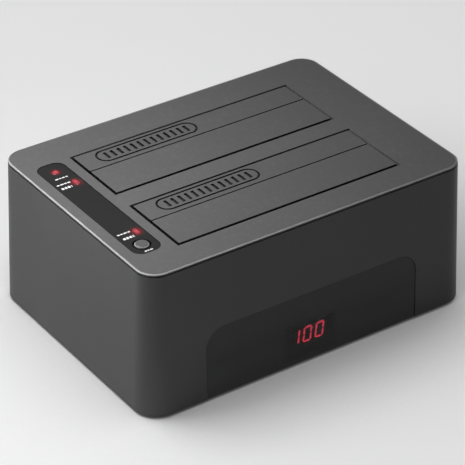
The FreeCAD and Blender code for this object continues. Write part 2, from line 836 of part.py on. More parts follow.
def make_panel():
    """Thin inlay with the button hole and three light openings."""
    width = panel_width - 2 * seat_gap
    length = panel_length - 2 * seat_gap
    panel = slab(width, length, panel_radius - seat_gap, panel_seat, panel_top, panel_x, panel_y)
    light_hole = power_light_radius + seat_gap
    removed = [post(button_radius + button_hole_gap, button_pos.x, button_pos.y, panel_seat, panel_top),
               post(light_hole, power_light_pos.x, power_light_pos.y, panel_seat, panel_top),
               bar_form(source_bar_pos, seat_gap, panel_seat, panel_top),
               bar_form(target_bar_pos, seat_gap, panel_seat, panel_top)]
    return panel.cut(removed)


def make_power_lens():
    """Round light pipe over the power LED."""
    x = power_light_pos.x
    y = power_light_pos.y
    low = small_board_top + led_height
    lens = post(power_light_radius, x, y, low, panel_top + light_proud)
    return lens.makeChamfer(2 * light_proud, [lens.Edges[number] for number in highest_edges(lens)])


def highest_edges(shape):
    """Numbers of the edges that lie in a shape's highest plane."""
    high = shape.BoundBox.ZMax
    return [number for number, edge in enumerate(shape.Edges) if abs(edge.BoundBox.ZMin - high) < 1e-6]


def make_bar_lens(spot):
    """Bar-shaped light pipe over a drive LED."""
    lens = bar_form(spot, 0, small_board_top + led_height, panel_top + light_proud)
    return lens.makeChamfer(light_proud, [lens.Edges[number] for number in highest_edges(lens)])


def make_clone_button():
    """Round key with a bevelled top, a retaining flange under the cover and a stem."""
    x = button_pos.x
    y = button_pos.y
    flange_top = cover_under - moving_gap
    flange_low = flange_top - button_flange_thickness
    cap = post(button_radius, x, y, flange_low, top_z + button_proud)
    cap = cap.makeChamfer(button_chamfer, [cap.Edges[number] for number in highest_edges(cap)])
    flange = stud(button_radius + button_hole_gap + button_flange, x, y, flange_low, flange_top, 16)
    stem = stud(button_stem_radius, x, y, plunger_top, flange_low)
    return joined(cap, [flange, stem])


def make_switch_body():
    """Tact switch under the clone button, with a square case."""
    x = button_pos.x
    y = button_pos.y
    half = switch_size / 2
    case = block(x - half, x + half, y - half, y + half, small_board_top, switch_top)
    low = plunger_top - plunger_height - button_travel - plunger_gap
    return case.cut(stud(plunger_radius + plunger_gap, x, y, low, switch_top, 16))


def make_switch_plunger():
    """Plunger that the clone button's stem stands on."""
    return stud(plunger_radius, button_pos.x, button_pos.y, plunger_top - plunger_height, plunger_top, 16)


def make_button_board():
    """Narrow circuit board under the panel, notched round the wells' ears."""
    half = button_board_width / 2
    low = small_board_top - small_board
    board = block(small_board_x - half, small_board_x + half, panel_front + button_board_end,
                  panel_back - button_board_end, low, small_board_top)
    removed = []
    for x, y, side in all_ear_spots():
        removed.append(stud(ear_radius + button_board_notch, x, y, low, small_board_top))
    for x, y in panel_post_spots():
        removed.append(stud(screw_radius + seat_gap, x, y, low, small_board_top))
    return board.cut(removed)


def make_panel_leds():
    """Three surface-mounted LEDs on the button board."""
    leds = []
    half = led_size / 2
    for spot in (power_light_pos, source_bar_pos, target_bar_pos):
        leds.append(block(spot.x - half, spot.x + half, spot.y - half, spot.y + half,
                          small_board_top, small_board_top + led_height))
    return Part.makeCompound(leds)


# ---------------------------------------------------------------- boards
def board_edges():
    """Left, right, front and back of the main board."""
    x = body_width / 2 - board_side_gap
    return -x, x, -body_depth / 2 + board_front_gap, body_depth / 2 - board_rear_gap


def board_post_spots():
    """Posts of the base plate under the main board's corners."""
    left, right, front, back = board_edges()
    inset = board_post_edge
    return [(x, y) for x in (left + inset, right - inset) for y in (front + inset, back - inset)]


def make_main_board():
    """Main circuit board with four fixing holes."""
    left, right, front, back = board_edges()
    board = block(left, right, front, back, board_bottom, board_top)
    holes = [stud(screw_radius + seat_gap, x, y, board_bottom, board_top) for x, y in board_post_spots()]
    return board.cut(holes)


def slot_spans():
    """Ends along X of the signal slot and the power slot, from the socket's middle."""
    total = signal_slot + slot_web + power_slot
    start = -total / 2
    return (start, start + signal_slot), (start + signal_slot + slot_web, start + total)


def make_sata_socket(bay_y):
    """Upright 22-way drive socket with two keyed slots and a polarising rib at one end."""
    y = bay_y + sata_shift_y
    half = sata_length / 2
    wide = sata_width / 2
    body = block(sata_x - half, sata_x + half, y - wide, y + wide, board_top, sata_top)
    removed = []
    for start, end in slot_spans():
        low = sata_top - slot_depth
        near = y - slot_width / 2
        removed.append(block(sata_x + start, sata_x + end, near, near + slot_width, low, sata_top))
        removed.append(block(sata_x + end - slot_width, sata_x + end, near, near + slot_key, low, sata_top))
    return body.cut(removed)


def make_contacts():
    """Contact blades along one wall of each socket's slots."""
    blades = []
    half = contact_width / 2
    low = sata_top - slot_depth
    high = sata_top - contact_recess
    for bay_y in (front_bay_y, rear_bay_y):
        y = bay_y + sata_shift_y - slot_width / 2
        for (start, end), count in zip(slot_spans(), (signal_contacts, power_contacts)):
            for number in range(count):
                x = sata_x + start + (number + 0.5) * contact_pitch
                blades.append(block(x - half, x + half, y, y + contact_thickness, low, high))
    return Part.makeCompound(blades)


def rear_socket_y():
    """Mouth of the rear sockets, just inside the rear face."""
    return face_y(board_top + usb_height) - window_sink


def make_usb_socket():
    """Type B socket shell: a keyed square mouth below and a smaller one above it."""
    mouth = rear_socket_y()
    half = usb_width / 2
    shell = block(usb_x - half, usb_x + half, mouth - usb_depth, mouth, board_top, board_top + usb_height)
    low = board_top + usb_shell
    high = low + usb_mouth_height
    wide = usb_mouth_width / 2
    narrow = wide - usb_mouth_bevel
    depth = usb_depth - usb_back
    points = [V(usb_x - wide, mouth, low), V(usb_x + wide, mouth, low),
              V(usb_x + wide, mouth, high - usb_mouth_bevel), V(usb_x + narrow, mouth, high),
              V(usb_x - narrow, mouth, high), V(usb_x - wide, mouth, high - usb_mouth_bevel)]
    lower = Part.Face(Part.makePolygon(points + points[:1])).extrude(V(0, -depth, 0))
    upper = block(usb_x - narrow, usb_x + narrow, mouth - depth, mouth,
                  high - overlap, board_top + usb_height - usb_shell)
    return shell.cut([lower, upper])


def make_usb_tongue():
    """Contact carriers inside the USB socket."""
    mouth = rear_socket_y()
    back = mouth - usb_depth + usb_back
    half = usb_tongue_width / 2
    low = board_top + usb_shell + usb_tongue_lift
    lower = block(usb_x - half, usb_x + half, back, mouth - usb_tongue_recess, low, low + usb_tongue_height)
    half = usb_upper_width / 2
    low = board_top + usb_shell + usb_upper_lift
    upper = block(usb_x - half, usb_x + half, back, mouth - usb_upper_recess, low, low + usb_upper_height)
    return Part.makeCompound([lower, upper])


def make_jack():
    """Barrel power jack: a square case with a round nose and a deep bore."""
    mouth = rear_socket_y()
    half = jack_width / 2
    middle = board_top + jack_height / 2
    back = mouth - jack_depth
    root = mouth - jack_nose_length
    case = block(jack_x - half, jack_x + half, back, root, board_top, board_top + jack_height)
    nose = rod(jack_bore + jack_nose_wall, V(jack_x, root - overlap, middle), V(jack_x, mouth, middle))
    case = joined(case, [nose])
    return case.cut(rod(jack_bore, V(jack_x, mouth - jack_bore_depth, middle),
                        V(jack_x, mouth + cut_past, middle)))


def make_jack_pin():
    """Centre pin of the power jack."""
    mouth = rear_socket_y()
    middle = board_top + jack_height / 2
    tip = mouth - jack_pin_recess
    return rod(jack_pin_radius, V(jack_x, mouth - jack_bore_depth, middle), V(jack_x, tip, middle))


def power_cap_y():
    """Outer face of the power button."""
    return face_y(board_top + power_switch_size / 2) + power_button_rim


def make_power_button():
    """Round push button set in the rear wall, with a shallow bevel."""
    z = board_top + power_switch_size / 2
    y = power_cap_y()
    cap = rod(power_button_radius, V(power_button_x, y - power_button_depth, z), V(power_button_x, y, z))
    outer = [edge for edge in cap.Edges if abs(edge.BoundBox.YMin - y) < 1e-6]
    return cap.makeChamfer(power_button_bevel, outer)


def make_power_plunger():
    """Square plunger between the power button and its switch."""
    z = board_top + power_switch_size / 2
    half = power_plunger / 2
    y = power_cap_y() - power_button_depth
    return block(power_button_x - half, power_button_x + half, y - power_plunger_length, y,
                 z - half, z + half)


def make_power_switch():
    """Latching push switch on the main board."""
    z = board_top + power_switch_size / 2
    half = power_switch_size / 2
    front = power_cap_y() - power_button_depth - power_button_travel - moving_gap
    case = block(power_button_x - half, power_button_x + half, front - power_switch_depth, front,
                 board_top, board_top + power_switch_size)
    hole = power_plunger / 2 + moving_gap / 2
    depth = front - power_plunger_length
    return case.cut(block(power_button_x - hole, power_button_x + hole, depth, front, z - hole, z + hole))


def channel_y():
    """Middle of the channel between the two wells' drive guides."""
    return (front_bay_y + rear_bay_y) / 2


def chip(x, y, size, height):
    """A flat square chip package with a bevelled top."""
    half = size / 2
    body = block(x - half, x + half, y - half, y + half, board_top, board_top + height)
    return body.makeChamfer(chip_bevel, [body.Edges[number] for number in highest_edges(body)])


def make_controller():
    """Duplicator controller, between the wells."""
    return chip(bay_x + controller_place, channel_y(), controller_size, controller_height)


def make_bridges():
    """Two drive bridge chips, beside their sockets."""
    return Part.makeCompound([chip(bay_x + bridge_place, y + sata_shift_y, bridge_size, bridge_height)
                              for y in (front_bay_y, rear_bay_y)])


def make_inductors():
    """Power inductors in a row at the left of the channel between the wells."""
    y = channel_y()
    return Part.makeCompound([chip(sata_x + number * inductor_pitch, y, inductor_size, inductor_height)
                              for number in range(inductor_count)])


def make_capacitors():
    """Electrolytic cans along the board's right edge."""
    left, right, front, back = board_edges()
    cans = []
    for number in range(capacitor_count):
        y = channel_y() + (number - (capacitor_count - 1) / 2) * capacitor_pitch
        cans.append(stud(capacitor_radius, right - capacitor_edge, y, board_top,
                         board_top + capacitor_height, 16))
    return Part.makeCompound(cans)


def make_crystals():
    """Crystals in the channel, right of the controller."""
    cases = []
    y = channel_y()
    half_x = crystal_length / 2
    half_y = crystal_width / 2
    for number in range(crystal_count):
        x = bay_x + crystal_place + number * crystal_pitch
        case = block(x - half_x, x + half_x, y - half_y, y + half_y, board_top, board_top + crystal_height)
        upright = [edge for edge in case.Edges if edge.BoundBox.ZLength > crystal_height / 2]
        cases.append(case.makeChamfer(crystal_bevel, upright))
    return Part.makeCompound(cases)


# ---------------------------------------------------------------- display
def display_face_y():
    """Front of the display, close behind the window."""
    inner = face_y(bottom_z + display_z + display_height / 2) - window_sink - window_thickness
    return -(inner - moving_gap - segment_thickness)


def display_back_y():
    """Front of the display board, where the digit module stands on it."""
    return display_face_y() + display_depth


def make_display():
    """Digit module, a block with a bevelled front edge."""
    half = display_width / 2
    middle = bottom_z + display_z
    face = display_face_y()
    tall = display_height / 2
    module = block(display_x - half, display_x + half, face, face + display_depth,
                   middle - tall, middle + tall)
    front = [edge for edge in module.Edges if abs(edge.BoundBox.YMax - face) < 1e-6]
    return module.makeChamfer(display_bevel, front)


def segment_shapes(x):
    """Seven bars of one digit, slanted to the right, numbered from the top round to the middle one."""
    w = segment_width / 2
    tall = digit_height / 2 - w
    wide = digit_width / 2 - w
    trim = segment_gap
    level = [(-wide + trim, 0), (-wide + w + trim, w), (wide - w - trim, w), (wide - trim, 0),
             (wide - w - trim, -w), (-wide + w + trim, -w)]
    upright = [(0, trim), (w, w + trim), (w, tall - w - trim), (0, tall - trim),
               (-w, tall - w - trim), (-w, w + trim)]
    moves = [(level, 0, tall), (upright, wide, 0), (upright, wide, -tall), (level, 0, -tall),
             (upright, -wide, -tall), (upright, -wide, 0), (level, 0, 0)]
    middle = bottom_z + display_z
    y = display_face_y()
    bars = []
    for points, shift_x, shift_z in moves:
        corners = []
        for px, pz in points:
            height = pz + shift_z
            corners.append(V(x + px + shift_x + digit_slant * height, y, middle + height))
        bars.append(Part.Face(Part.makePolygon(corners + corners[:1])).extrude(V(0, -segment_thickness, 0)))
    return bars


def make_segments(lit):
    """Lit or dark bars of the three digits. The plain number 100 is lit."""
    one = (1, 2)
    zero = (0, 1, 2, 3, 4, 5)
    bars = []
    for number, shown in enumerate((one, zero, zero)):
        shapes = segment_shapes(display_x + (number - 1) * digit_pitch)
        bars += [bar for place, bar in enumerate(shapes) if (place in shown) == lit]
    return Part.makeCompound(bars)


def make_display_board():
    """Upright board behind the digit module, standing on the base plate between its guides."""
    half = display_board_width / 2
    y = display_back_y()
    return block(-half, half, y, y + small_board, base_top, base_top + display_board_height)


def make_display_connector():
    """Right-angle header that joins the display board to the main board."""
    y = display_back_y() + small_board
    left, right, front, back = board_edges()
    half = header_length / 2
    return block(-half, half, y, front + header_reach, board_top, board_top + header_height)


# ---------------------------------------------------------------- cable and screws
def cable_x():
    """Middle plane of the flat cable."""
    return small_board_x - cable_offset


def make_cable():
    """Flat cable bowed between the button board and the main board, with its two plugs."""
    y0 = channel_y() - cable_width / 2
    near = cable_x()
    far = near + cable_thickness
    top = small_board_top - small_board - plug_height
    low = board_top + plug_height
    middle = (top + low) / 2
    outer = Part.Arc(V(near, y0, low), V(near - cable_bow, y0, middle), V(near, y0, top)).toShape()
    inner = Part.Arc(V(far, y0, top), V(far - cable_bow, y0, middle), V(far, y0, low)).toShape()
    wire = Part.Wire([outer, Part.makeLine(V(near, y0, top), V(far, y0, top)), inner,
                      Part.makeLine(V(far, y0, low), V(near, y0, low))])
    return Part.Face(wire).extrude(V(0, cable_width, 0))


def make_cable_plugs():
    """Flat cable sockets on the two boards."""
    y0 = channel_y() - plug_length / 2
    x0 = cable_x() + cable_thickness / 2 - plug_depth / 2
    plugs = []
    for z0 in (small_board_top - small_board - plug_height, board_top):
        plugs.append(block(x0, x0 + plug_depth, y0, y0 + plug_length, z0, z0 + plug_height))
    return Part.makeCompound(plugs)


def pan_screw(x, y, seat_z, up, length):
    """Small screw. Its shank points up or down from the seat, its head the other way."""
    turn = 1 if up else -1
    head = stud(pan_head_radius, x, y, *sorted((seat_z, seat_z - turn * pan_head_height)))
    shank = stud(screw_radius, x, y, *sorted((seat_z - turn * pan_head_height, seat_z + turn * length)))
    return joined(head, [shank])


def make_base_screws():
    """Four cross-head screws from the base up into the cover's posts, heads sunk in the base."""
    screws = []
    seat = base_bottom + screw_head_height
    for x, y in corner_spots(post_edge):
        head = stud(screw_head_radius, x, y, base_bottom + seat_gap, seat)
        shank = stud(screw_radius, x, y, base_bottom + seat_gap, base_bottom + screw_length)
        screw = joined(head, [shank])
        long = cross_length / 2
        short = cross_width / 2
        low = base_bottom + seat_gap
        high = low + screw_head_height / 2
        slots = [block(x - long, x + long, y - short, y + short, low, high),
                 block(x - short, x + short, y - long, y + long, low, high)]
        screws.append(screw.cut(slots))
    return Part.makeCompound(screws)


def make_board_screws():
    """Four screws that hold the main board on the base's posts."""
    bite = board_thickness + board_screw_bite
    return Part.makeCompound([pan_screw(x, y, board_top, False, bite) for x, y in board_post_spots()])


def make_well_screws():
    """Screws up through the wells' ears into the cover."""
    seat = cover_under - ear_boss - ear_thickness
    bite = ear_thickness + ear_boss
    return Part.makeCompound([pan_screw(x, y, seat, True, bite) for x, y, side in all_ear_spots()])


def make_panel_screws():
    """Two screws that hold the button board to the cover."""
    seat = small_board_top - small_board
    bite = small_board + panel_screw_bite
    return Part.makeCompound([pan_screw(x, y, seat, True, bite) for x, y in panel_post_spots()])


# ---------------------------------------------------------------- export
def pieces():
    """Every named piece with its shape."""
    return {
        "top_cover": make_cover(),
        "housing": make_housing(),
        "front_window": make_window(),
        "base_plate": make_base(),
        "rubber_feet": make_feet(),
        "bay_well_front": make_well(front_bay_y),
        "bay_well_rear": make_well(rear_bay_y),
        "front_bay_wide_flap": make_wide_flap(front_bay_y),
        "front_bay_narrow_flap": make_narrow_flap(front_bay_y),
        "rear_bay_wide_flap": make_wide_flap(rear_bay_y),
        "rear_bay_narrow_flap": make_narrow_flap(rear_bay_y),
        "hinge_pins": make_pins(),
        "front_bay_wide_spring": make_spring(front_bay_y, -1),
        "front_bay_narrow_spring": make_spring(front_bay_y, 1),
        "rear_bay_wide_spring": make_spring(rear_bay_y, -1),
        "rear_bay_narrow_spring": make_spring(rear_bay_y, 1),
        "indicator_panel": make_panel(),
        "power_light_lens": make_power_lens(),
        "source_light_lens": make_bar_lens(source_bar_pos),
        "target_light_lens": make_bar_lens(target_bar_pos),
        "clone_button": make_clone_button(),
        "clone_switch_body": make_switch_body(),
        "clone_switch_plunger": make_switch_plunger(),
        "button_board": make_button_board(),
        "panel_leds": make_panel_leds(),
        "main_board": make_main_board(),
        "sata_socket_front": make_sata_socket(front_bay_y),
        "sata_socket_rear": make_sata_socket(rear_bay_y),
        "sata_contacts": make_contacts(),
        "usb_socket": make_usb_socket(),
        "usb_tongue": make_usb_tongue(),
        "power_jack": make_jack(),
        "power_jack_pin": make_jack_pin(),
        "power_button": make_power_button(),
        "power_switch_plunger": make_power_plunger(),
        "power_switch_body": make_power_switch(),
        "controller_chip": make_controller(),
        "bridge_chips": make_bridges(),
        "inductors": make_inductors(),
        "capacitors": make_capacitors(),
        "crystals": make_crystals(),
        "display_module": make_display(),
        "lit_segments": make_segments(True),
        "dark_segments": make_segments(False),
        "display_board": make_display_board(),
        "display_connector": make_display_connector(),
        "button_cable": make_cable(),
        "cable_plugs": make_cable_plugs(),
        "base_screws": make_base_screws(),
        "board_screws": make_board_screws(),
        "well_screws": make_well_screws(),
        "panel_screws": make_panel_screws(),
    }


def main():
    """Write one STEP file for each named piece."""
    os.makedirs("parts", exist_ok=True)
    for name, shape in pieces().items():
        shape.exportStep(f"parts/{name}.step")


main()
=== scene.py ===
import json
import math

import bmesh
import bpy
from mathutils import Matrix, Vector


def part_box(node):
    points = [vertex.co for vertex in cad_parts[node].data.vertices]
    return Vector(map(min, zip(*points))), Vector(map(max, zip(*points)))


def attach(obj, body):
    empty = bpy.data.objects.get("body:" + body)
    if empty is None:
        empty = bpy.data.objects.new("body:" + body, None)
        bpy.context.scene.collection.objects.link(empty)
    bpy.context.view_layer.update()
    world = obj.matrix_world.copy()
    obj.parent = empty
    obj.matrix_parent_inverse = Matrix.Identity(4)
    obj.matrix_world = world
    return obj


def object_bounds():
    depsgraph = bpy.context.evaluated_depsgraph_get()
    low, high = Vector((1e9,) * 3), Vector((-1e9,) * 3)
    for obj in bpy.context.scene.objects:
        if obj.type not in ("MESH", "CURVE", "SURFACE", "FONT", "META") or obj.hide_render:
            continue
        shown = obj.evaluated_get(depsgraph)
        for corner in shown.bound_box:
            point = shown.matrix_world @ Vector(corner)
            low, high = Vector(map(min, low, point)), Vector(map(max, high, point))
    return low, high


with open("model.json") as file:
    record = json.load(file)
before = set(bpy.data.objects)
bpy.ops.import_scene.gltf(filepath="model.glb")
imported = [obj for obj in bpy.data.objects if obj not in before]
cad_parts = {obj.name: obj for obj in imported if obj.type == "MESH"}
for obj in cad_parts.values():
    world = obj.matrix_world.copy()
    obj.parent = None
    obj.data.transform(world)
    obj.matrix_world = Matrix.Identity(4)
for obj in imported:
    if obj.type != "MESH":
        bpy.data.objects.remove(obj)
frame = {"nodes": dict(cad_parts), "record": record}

# Drive duplicator: satin charcoal housing, two flap-covered bays, indicator strip and red display.
# Metres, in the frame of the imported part: +X right, +Y back, +Z up, front towards -Y.

cad_low, cad_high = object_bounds()
CENTRE = (cad_low + cad_high) / 2
MM = 0.001
MICRON = 0.000001
DOCK = "dock_body"

# ---------------------------------------------------------------- values of the finishes
# Colours are linear red, green and blue. A single number is a grey.
CHARCOAL = (0.118, 0.118, 0.120)
FLAP_CHARCOAL = (0.109, 0.109, 0.111)
WORN_CHARCOAL = (0.20, 0.20, 0.20)
BUTTON_GREY = (0.090, 0.090, 0.091)
WORN_BUTTON = (0.30, 0.30, 0.30)
STRIP_BLACK = (0.0165, 0.0165, 0.0168)
SMOKE = (0.060, 0.060, 0.061)
# The paler smoke at the window's foot is painted light, making up for the shade near the floor.
SMOKE_PAINTED_LIGHTER_AT_FOOT = (0.105, 0.105, 0.106)
SMOKE_EDGE = 0.09
INK_WHITE = 0.80
SOLDER_GREEN = (0.008, 0.075, 0.030)
TRACK_GREEN = (0.018, 0.14, 0.055)
PLATED_RING = (0.50, 0.42, 0.22)
CABLE_SEAM = (0.42, 0.42, 0.40)
CABLE_WIRE = (0.70, 0.70, 0.67)
DUST = (0.42, 0.40, 0.37)
STRIP_DUST = 0.3
STRIP_EDGE = 0.06
# Painted shade: the dark that the sides of narrow gaps and the groove under the rim are painted
# towards.
GAP_SHADE_DARK = (0.06, 0.06, 0.06)
LIGHT_PIPE = (0.10, 0.010, 0.014)
RED_CORE = (0.74, 0.075, 0.100)
RED_RIM = (0.17, 0.008, 0.015)
PAINTED_RED_GLOW = (0.25, 0.006, 0.012)
DIGIT_RED = (1.0, 0.05, 0.10)
DIGIT_STRENGTH = 23.0

# Noise scales, in features for each metre.
FINE_SKIN = 900.0
SKIN_CLOUDS = 38.0
TONE_CLOUDS = 16.0
TONE_SPECKS = 1400.0
WEAR_BREAKS = 220.0
DUST_SPECKS = 520.0
DUST_CLOUDS = 30.0
SMUDGES = 60.0
PANE_WAVES = 25.0
FLOOR_CLOUDS = 3.0

# Ranges, each as the value where an effect starts and the value where it is full.
WORN_EDGE = (0.99, 0.80)        # cosine between the surface's and the rounded edge's normal
WEAR_PATCHES = (0.35, 0.62)     # noise
FACING_UP = (0.4, 0.95)         # height of the normal
LEVEL = (0.90, 0.98)            # height of the flat face's normal
BEVEL_BAND = (0.16, 0.08)       # distance of that height from the bevel's slope
DUST_GRAINS = (0.50, 0.80)      # noise
DUST_PATCHES = (0.30, 0.75)     # noise
SHUT_IN = (0.97, 0.80)          # open share of the surroundings
SMUDGE_PATCHES = (0.3, 0.7)     # noise
PANE_ROUGHNESS = (0.16, 0.26)   # clean and smudged
RING = (0.13, 0.10)             # distance from a hole's middle, in cells

# How much paler worn plastic and worn metal are, and how finely edges and gaps are sampled.
WORN_GAIN = 1.7
WORN_LIFT = 0.01
METAL_GAIN = 1.3
EDGE_SAMPLES = 4
GAP_SAMPLES = 8

# Cover rim: corner radius, the painted highlight line just inside the far rim, gloss of the bevel.
COVER_CORNER = 8.3 * MM
RIM_HIGHLIGHT_LINE = 1.2 * MM
RIM_HIGHLIGHT_SHARE = 0.7
RIM_HIGHLIGHT_FADE = 30 * MM
BEVEL_SLOPE = 0.707
BEVEL_GLOSS = 0.24

# Window: clearer field round the display, its soft border, and how solid the smoke stays in it.
CLEAR_MARGIN = 1.5 * MM
CLEAR_FADE = 2.5 * MM
CLEAR_ALPHA = 0.86

# Lights on the strip: how far the red glow painted on the inlay round each one reaches.
STRIP_GLOWS = (("power_light_lens", 3.4 * MM), ("source_light_lens", 4.6 * MM),
               ("target_light_lens", 4.6 * MM))


# ---------------------------------------------------------------- node tools
def add(tree, kind, **settings):
    """A node with its settings made."""
    node = tree.nodes.new(kind)
    for name, value in settings.items():
        setattr(node, name, value)
    return node


def feed(tree, socket, value):
    """A link or a plain value put on a socket."""
    if isinstance(value, bpy.types.NodeSocket):
        tree.links.new(value, socket)
    else:
        socket.default_value = value


def fill(tree, node, **values):
    """Links and plain values for a node's inputs, by the inputs' names with _ for a space."""
    for name, value in values.items():
        feed(tree, node.inputs[name.replace("_", " ")], value)
    return node


def maths(tree, operation, first, second=0.0, clamp=False):
    """One sum on two values."""
    node = add(tree, "ShaderNodeMath", operation=operation, use_clamp=clamp)
    feed(tree, node.inputs[0], first)
    feed(tree, node.inputs[1], second)
    return node.outputs[0]


def vector_maths(tree, operation, first, second=None):
    """One sum on vectors, as the node's outputs."""
    node = add(tree, "ShaderNodeVectorMath", operation=operation)
    feed(tree, node.inputs[0], first)
    if second is not None:
        feed(tree, node.inputs[1], second)
    return node.outputs


def rgb(colour):
    """A colour socket's value. A single number is a grey."""
    if isinstance(colour, (int, float)):
        colour = (colour, colour, colour)
    return (*colour, 1.0)


def blend_colour(tree, share, first, second, way="MIX"):
    """Two colours mixed by a share. A Mix node keeps its colour sockets at places 6 and 7."""
    node = add(tree, "ShaderNodeMix", data_type="RGBA", blend_type=way)
    for place, value in ((0, share), (6, first), (7, second)):
        feed(tree, node.inputs[place], value)
    return node.outputs[2]


def noise(tree, where, scale, detail=3.0, roughness=0.5):
    """Fractal noise from 0 to 1."""
    node = add(tree, "ShaderNodeTexNoise")
    fill(tree, node, Vector=where, Scale=scale, Detail=detail, Roughness=roughness)
    return node.outputs["Fac"]


def swing(tree, value, amount):
    """A noise's swing about its middle, times an amount."""
    return maths(tree, "MULTIPLY", maths(tree, "SUBTRACT", value, 0.5), amount)


def ranged(tree, value, low, high, to_low=0.0, to_high=1.0):
    """A value moved from one range to another and held inside it."""
    node = add(tree, "ShaderNodeMapRange", clamp=True)
    fill(tree, node, Value=value, From_Min=low, From_Max=high, To_Min=to_low, To_Max=to_high)
    return node.outputs[0]


def own_place(tree):
    """Where a point lies on its piece at rest."""
    return add(tree, "ShaderNodeTexCoord").outputs["Object"]


def face_normal(tree, kind="Normal"):
    """The surface's normal, or with True Normal the flat face's."""
    return add(tree, "ShaderNodeNewGeometry").outputs[kind]


def split(tree, vector):
    """A vector's X, Y and Z."""
    node = add(tree, "ShaderNodeSeparateXYZ")
    tree.links.new(vector, node.inputs[0])
    return node.outputs


def effect(name, inputs, outputs):
    """An empty shader node group with its sockets: (tree, input sockets, output sockets)."""
    tree = bpy.data.node_groups.new(name, "ShaderNodeTree")
    for title, kind, value in inputs:
        socket = tree.interface.new_socket(title, in_out="INPUT", socket_type=kind)
        socket.default_value = value
    for title, kind in outputs:
        tree.interface.new_socket(title, in_out="OUTPUT", socket_type=kind)
    given = tree.nodes.new("NodeGroupInput")
    made = tree.nodes.new("NodeGroupOutput")
    return tree, given.outputs, made.inputs


def use(tree, group, **values):
    """A shared effect placed in a material."""
    node = add(tree, "ShaderNodeGroup", node_tree=group)
    return fill(tree, node, **values).outputs


VALUE = "NodeSocketFloat"
COLOUR = "NodeSocketColor"
POINT = "NodeSocketVector"
GREY = (0.1, 0.1, 0.1, 1.0)
NOWHERE = (0.0, 0.0, 0.0)


# ---------------------------------------------------------------- shared effects
def make_moulded_skin():
    """Fine spark-eroded texture of a moulding: a height and an uneven roughness."""
    tree, given, made = effect("moulded_skin", [("Scale", VALUE, FINE_SKIN),
                                                ("Roughness", VALUE, 0.5)],
                               [("Height", VALUE), ("Roughness", VALUE)])
    where = own_place(tree)
    fine = noise(tree, where, given["Scale"], detail=4.0, roughness=0.6)
    broad = noise(tree, where, SKIN_CLOUDS, detail=2.0)
    tree.links.new(fine, made["Height"])
    change = maths(tree, "ADD", swing(tree, broad, 0.12), swing(tree, fine, 0.10))
    total = maths(tree, "ADD", given["Roughness"], change, clamp=True)
    tree.links.new(total, made["Roughness"])
    return tree


def make_uneven_tone():
    """A colour that wanders a little, broad clouds and fine specks together."""
    tree, given, made = effect("uneven_tone", [("Colour", COLOUR, GREY), ("Amount", VALUE, 0.1)],
                               [("Colour", COLOUR)])
    where = own_place(tree)
    broad = swing(tree, noise(tree, where, TONE_CLOUDS, detail=2.0), 1.0)
    fine = swing(tree, noise(tree, where, TONE_SPECKS, detail=2.0), 0.6)
    wander = maths(tree, "MULTIPLY", maths(tree, "ADD", broad, fine), given["Amount"])
    changed = add(tree, "ShaderNodeVectorMath", operation="SCALE")
    tree.links.new(given["Colour"], changed.inputs[0])
    tree.links.new(maths(tree, "ADD", wander, 1.0), changed.inputs["Scale"])
    tree.links.new(changed.outputs[0], made["Colour"])
    return tree


def make_edge_wear():
    """Mask of the sharp edges, broken up by noise, and the normal of softly rounded edges."""
    tree, given, made = effect("edge_wear", [("Width", VALUE, 0.3 * MM), ("Amount", VALUE, 0.5)],
                               [("Mask", VALUE), ("Normal", POINT)])
    rounded = add(tree, "ShaderNodeBevel", samples=EDGE_SAMPLES)
    tree.links.new(given["Width"], rounded.inputs["Radius"])
    agree = vector_maths(tree, "DOT_PRODUCT", rounded.outputs[0], face_normal(tree))["Value"]
    edge = ranged(tree, agree, *WORN_EDGE)
    breaks = noise(tree, own_place(tree), WEAR_BREAKS, detail=4.0, roughness=0.6)
    worn = maths(tree, "MULTIPLY", edge, ranged(tree, breaks, *WEAR_PATCHES))
    tree.links.new(maths(tree, "MULTIPLY", worn, given["Amount"], clamp=True), made["Mask"])
    tree.links.new(rounded.outputs[0], made["Normal"])
    return tree


def make_fine_dust():
    """Mask of dust on what faces up."""
    tree, given, made = effect("fine_dust", [("Amount", VALUE, 0.1)], [("Mask", VALUE)])
    upward = ranged(tree, split(tree, face_normal(tree))["Z"], *FACING_UP)
    where = own_place(tree)
    specks = noise(tree, where, DUST_SPECKS, detail=5.0, roughness=0.7)
    specks = ranged(tree, specks, *DUST_GRAINS)
    clouds = ranged(tree, noise(tree, where, DUST_CLOUDS), *DUST_PATCHES, to_low=0.35)
    mask = maths(tree, "MULTIPLY", maths(tree, "MULTIPLY", specks, clouds), upward)
    tree.links.new(maths(tree, "MULTIPLY", mask, given["Amount"], clamp=True), made["Mask"])
    return tree


def make_halo():
    """Mask that fades with the distance from a light's middle."""
    tree, given, made = effect("halo", [("Centre", POINT, NOWHERE), ("Reach", VALUE, 4 * MM)],
                               [("Mask", VALUE)])
    apart = vector_maths(tree, "DISTANCE", own_place(tree), given["Centre"])["Value"]
    share = maths(tree, "SUBTRACT", 1.0, maths(tree, "DIVIDE", apart, given["Reach"]), clamp=True)
    tree.links.new(maths(tree, "POWER", share, 2.0), made["Mask"])
    return tree


def make_drawn_lines():
    """Fine scratches along one direction, left by drawing or grinding metal."""
    tree, given, made = effect("drawn_lines", [("Stretch", POINT, (60.0, 3000.0, 3000.0)),
                                               ("Roughness", VALUE, 0.3)],
                               [("Height", VALUE), ("Roughness", VALUE)])
    stretched = vector_maths(tree, "MULTIPLY", own_place(tree), given["Stretch"])[0]
    lines = noise(tree, stretched, 1.0, roughness=0.6)
    tree.links.new(lines, made["Height"])
    uneven = maths(tree, "ADD", given["Roughness"], swing(tree, lines, 0.3), clamp=True)
    tree.links.new(uneven, made["Roughness"])
    return tree


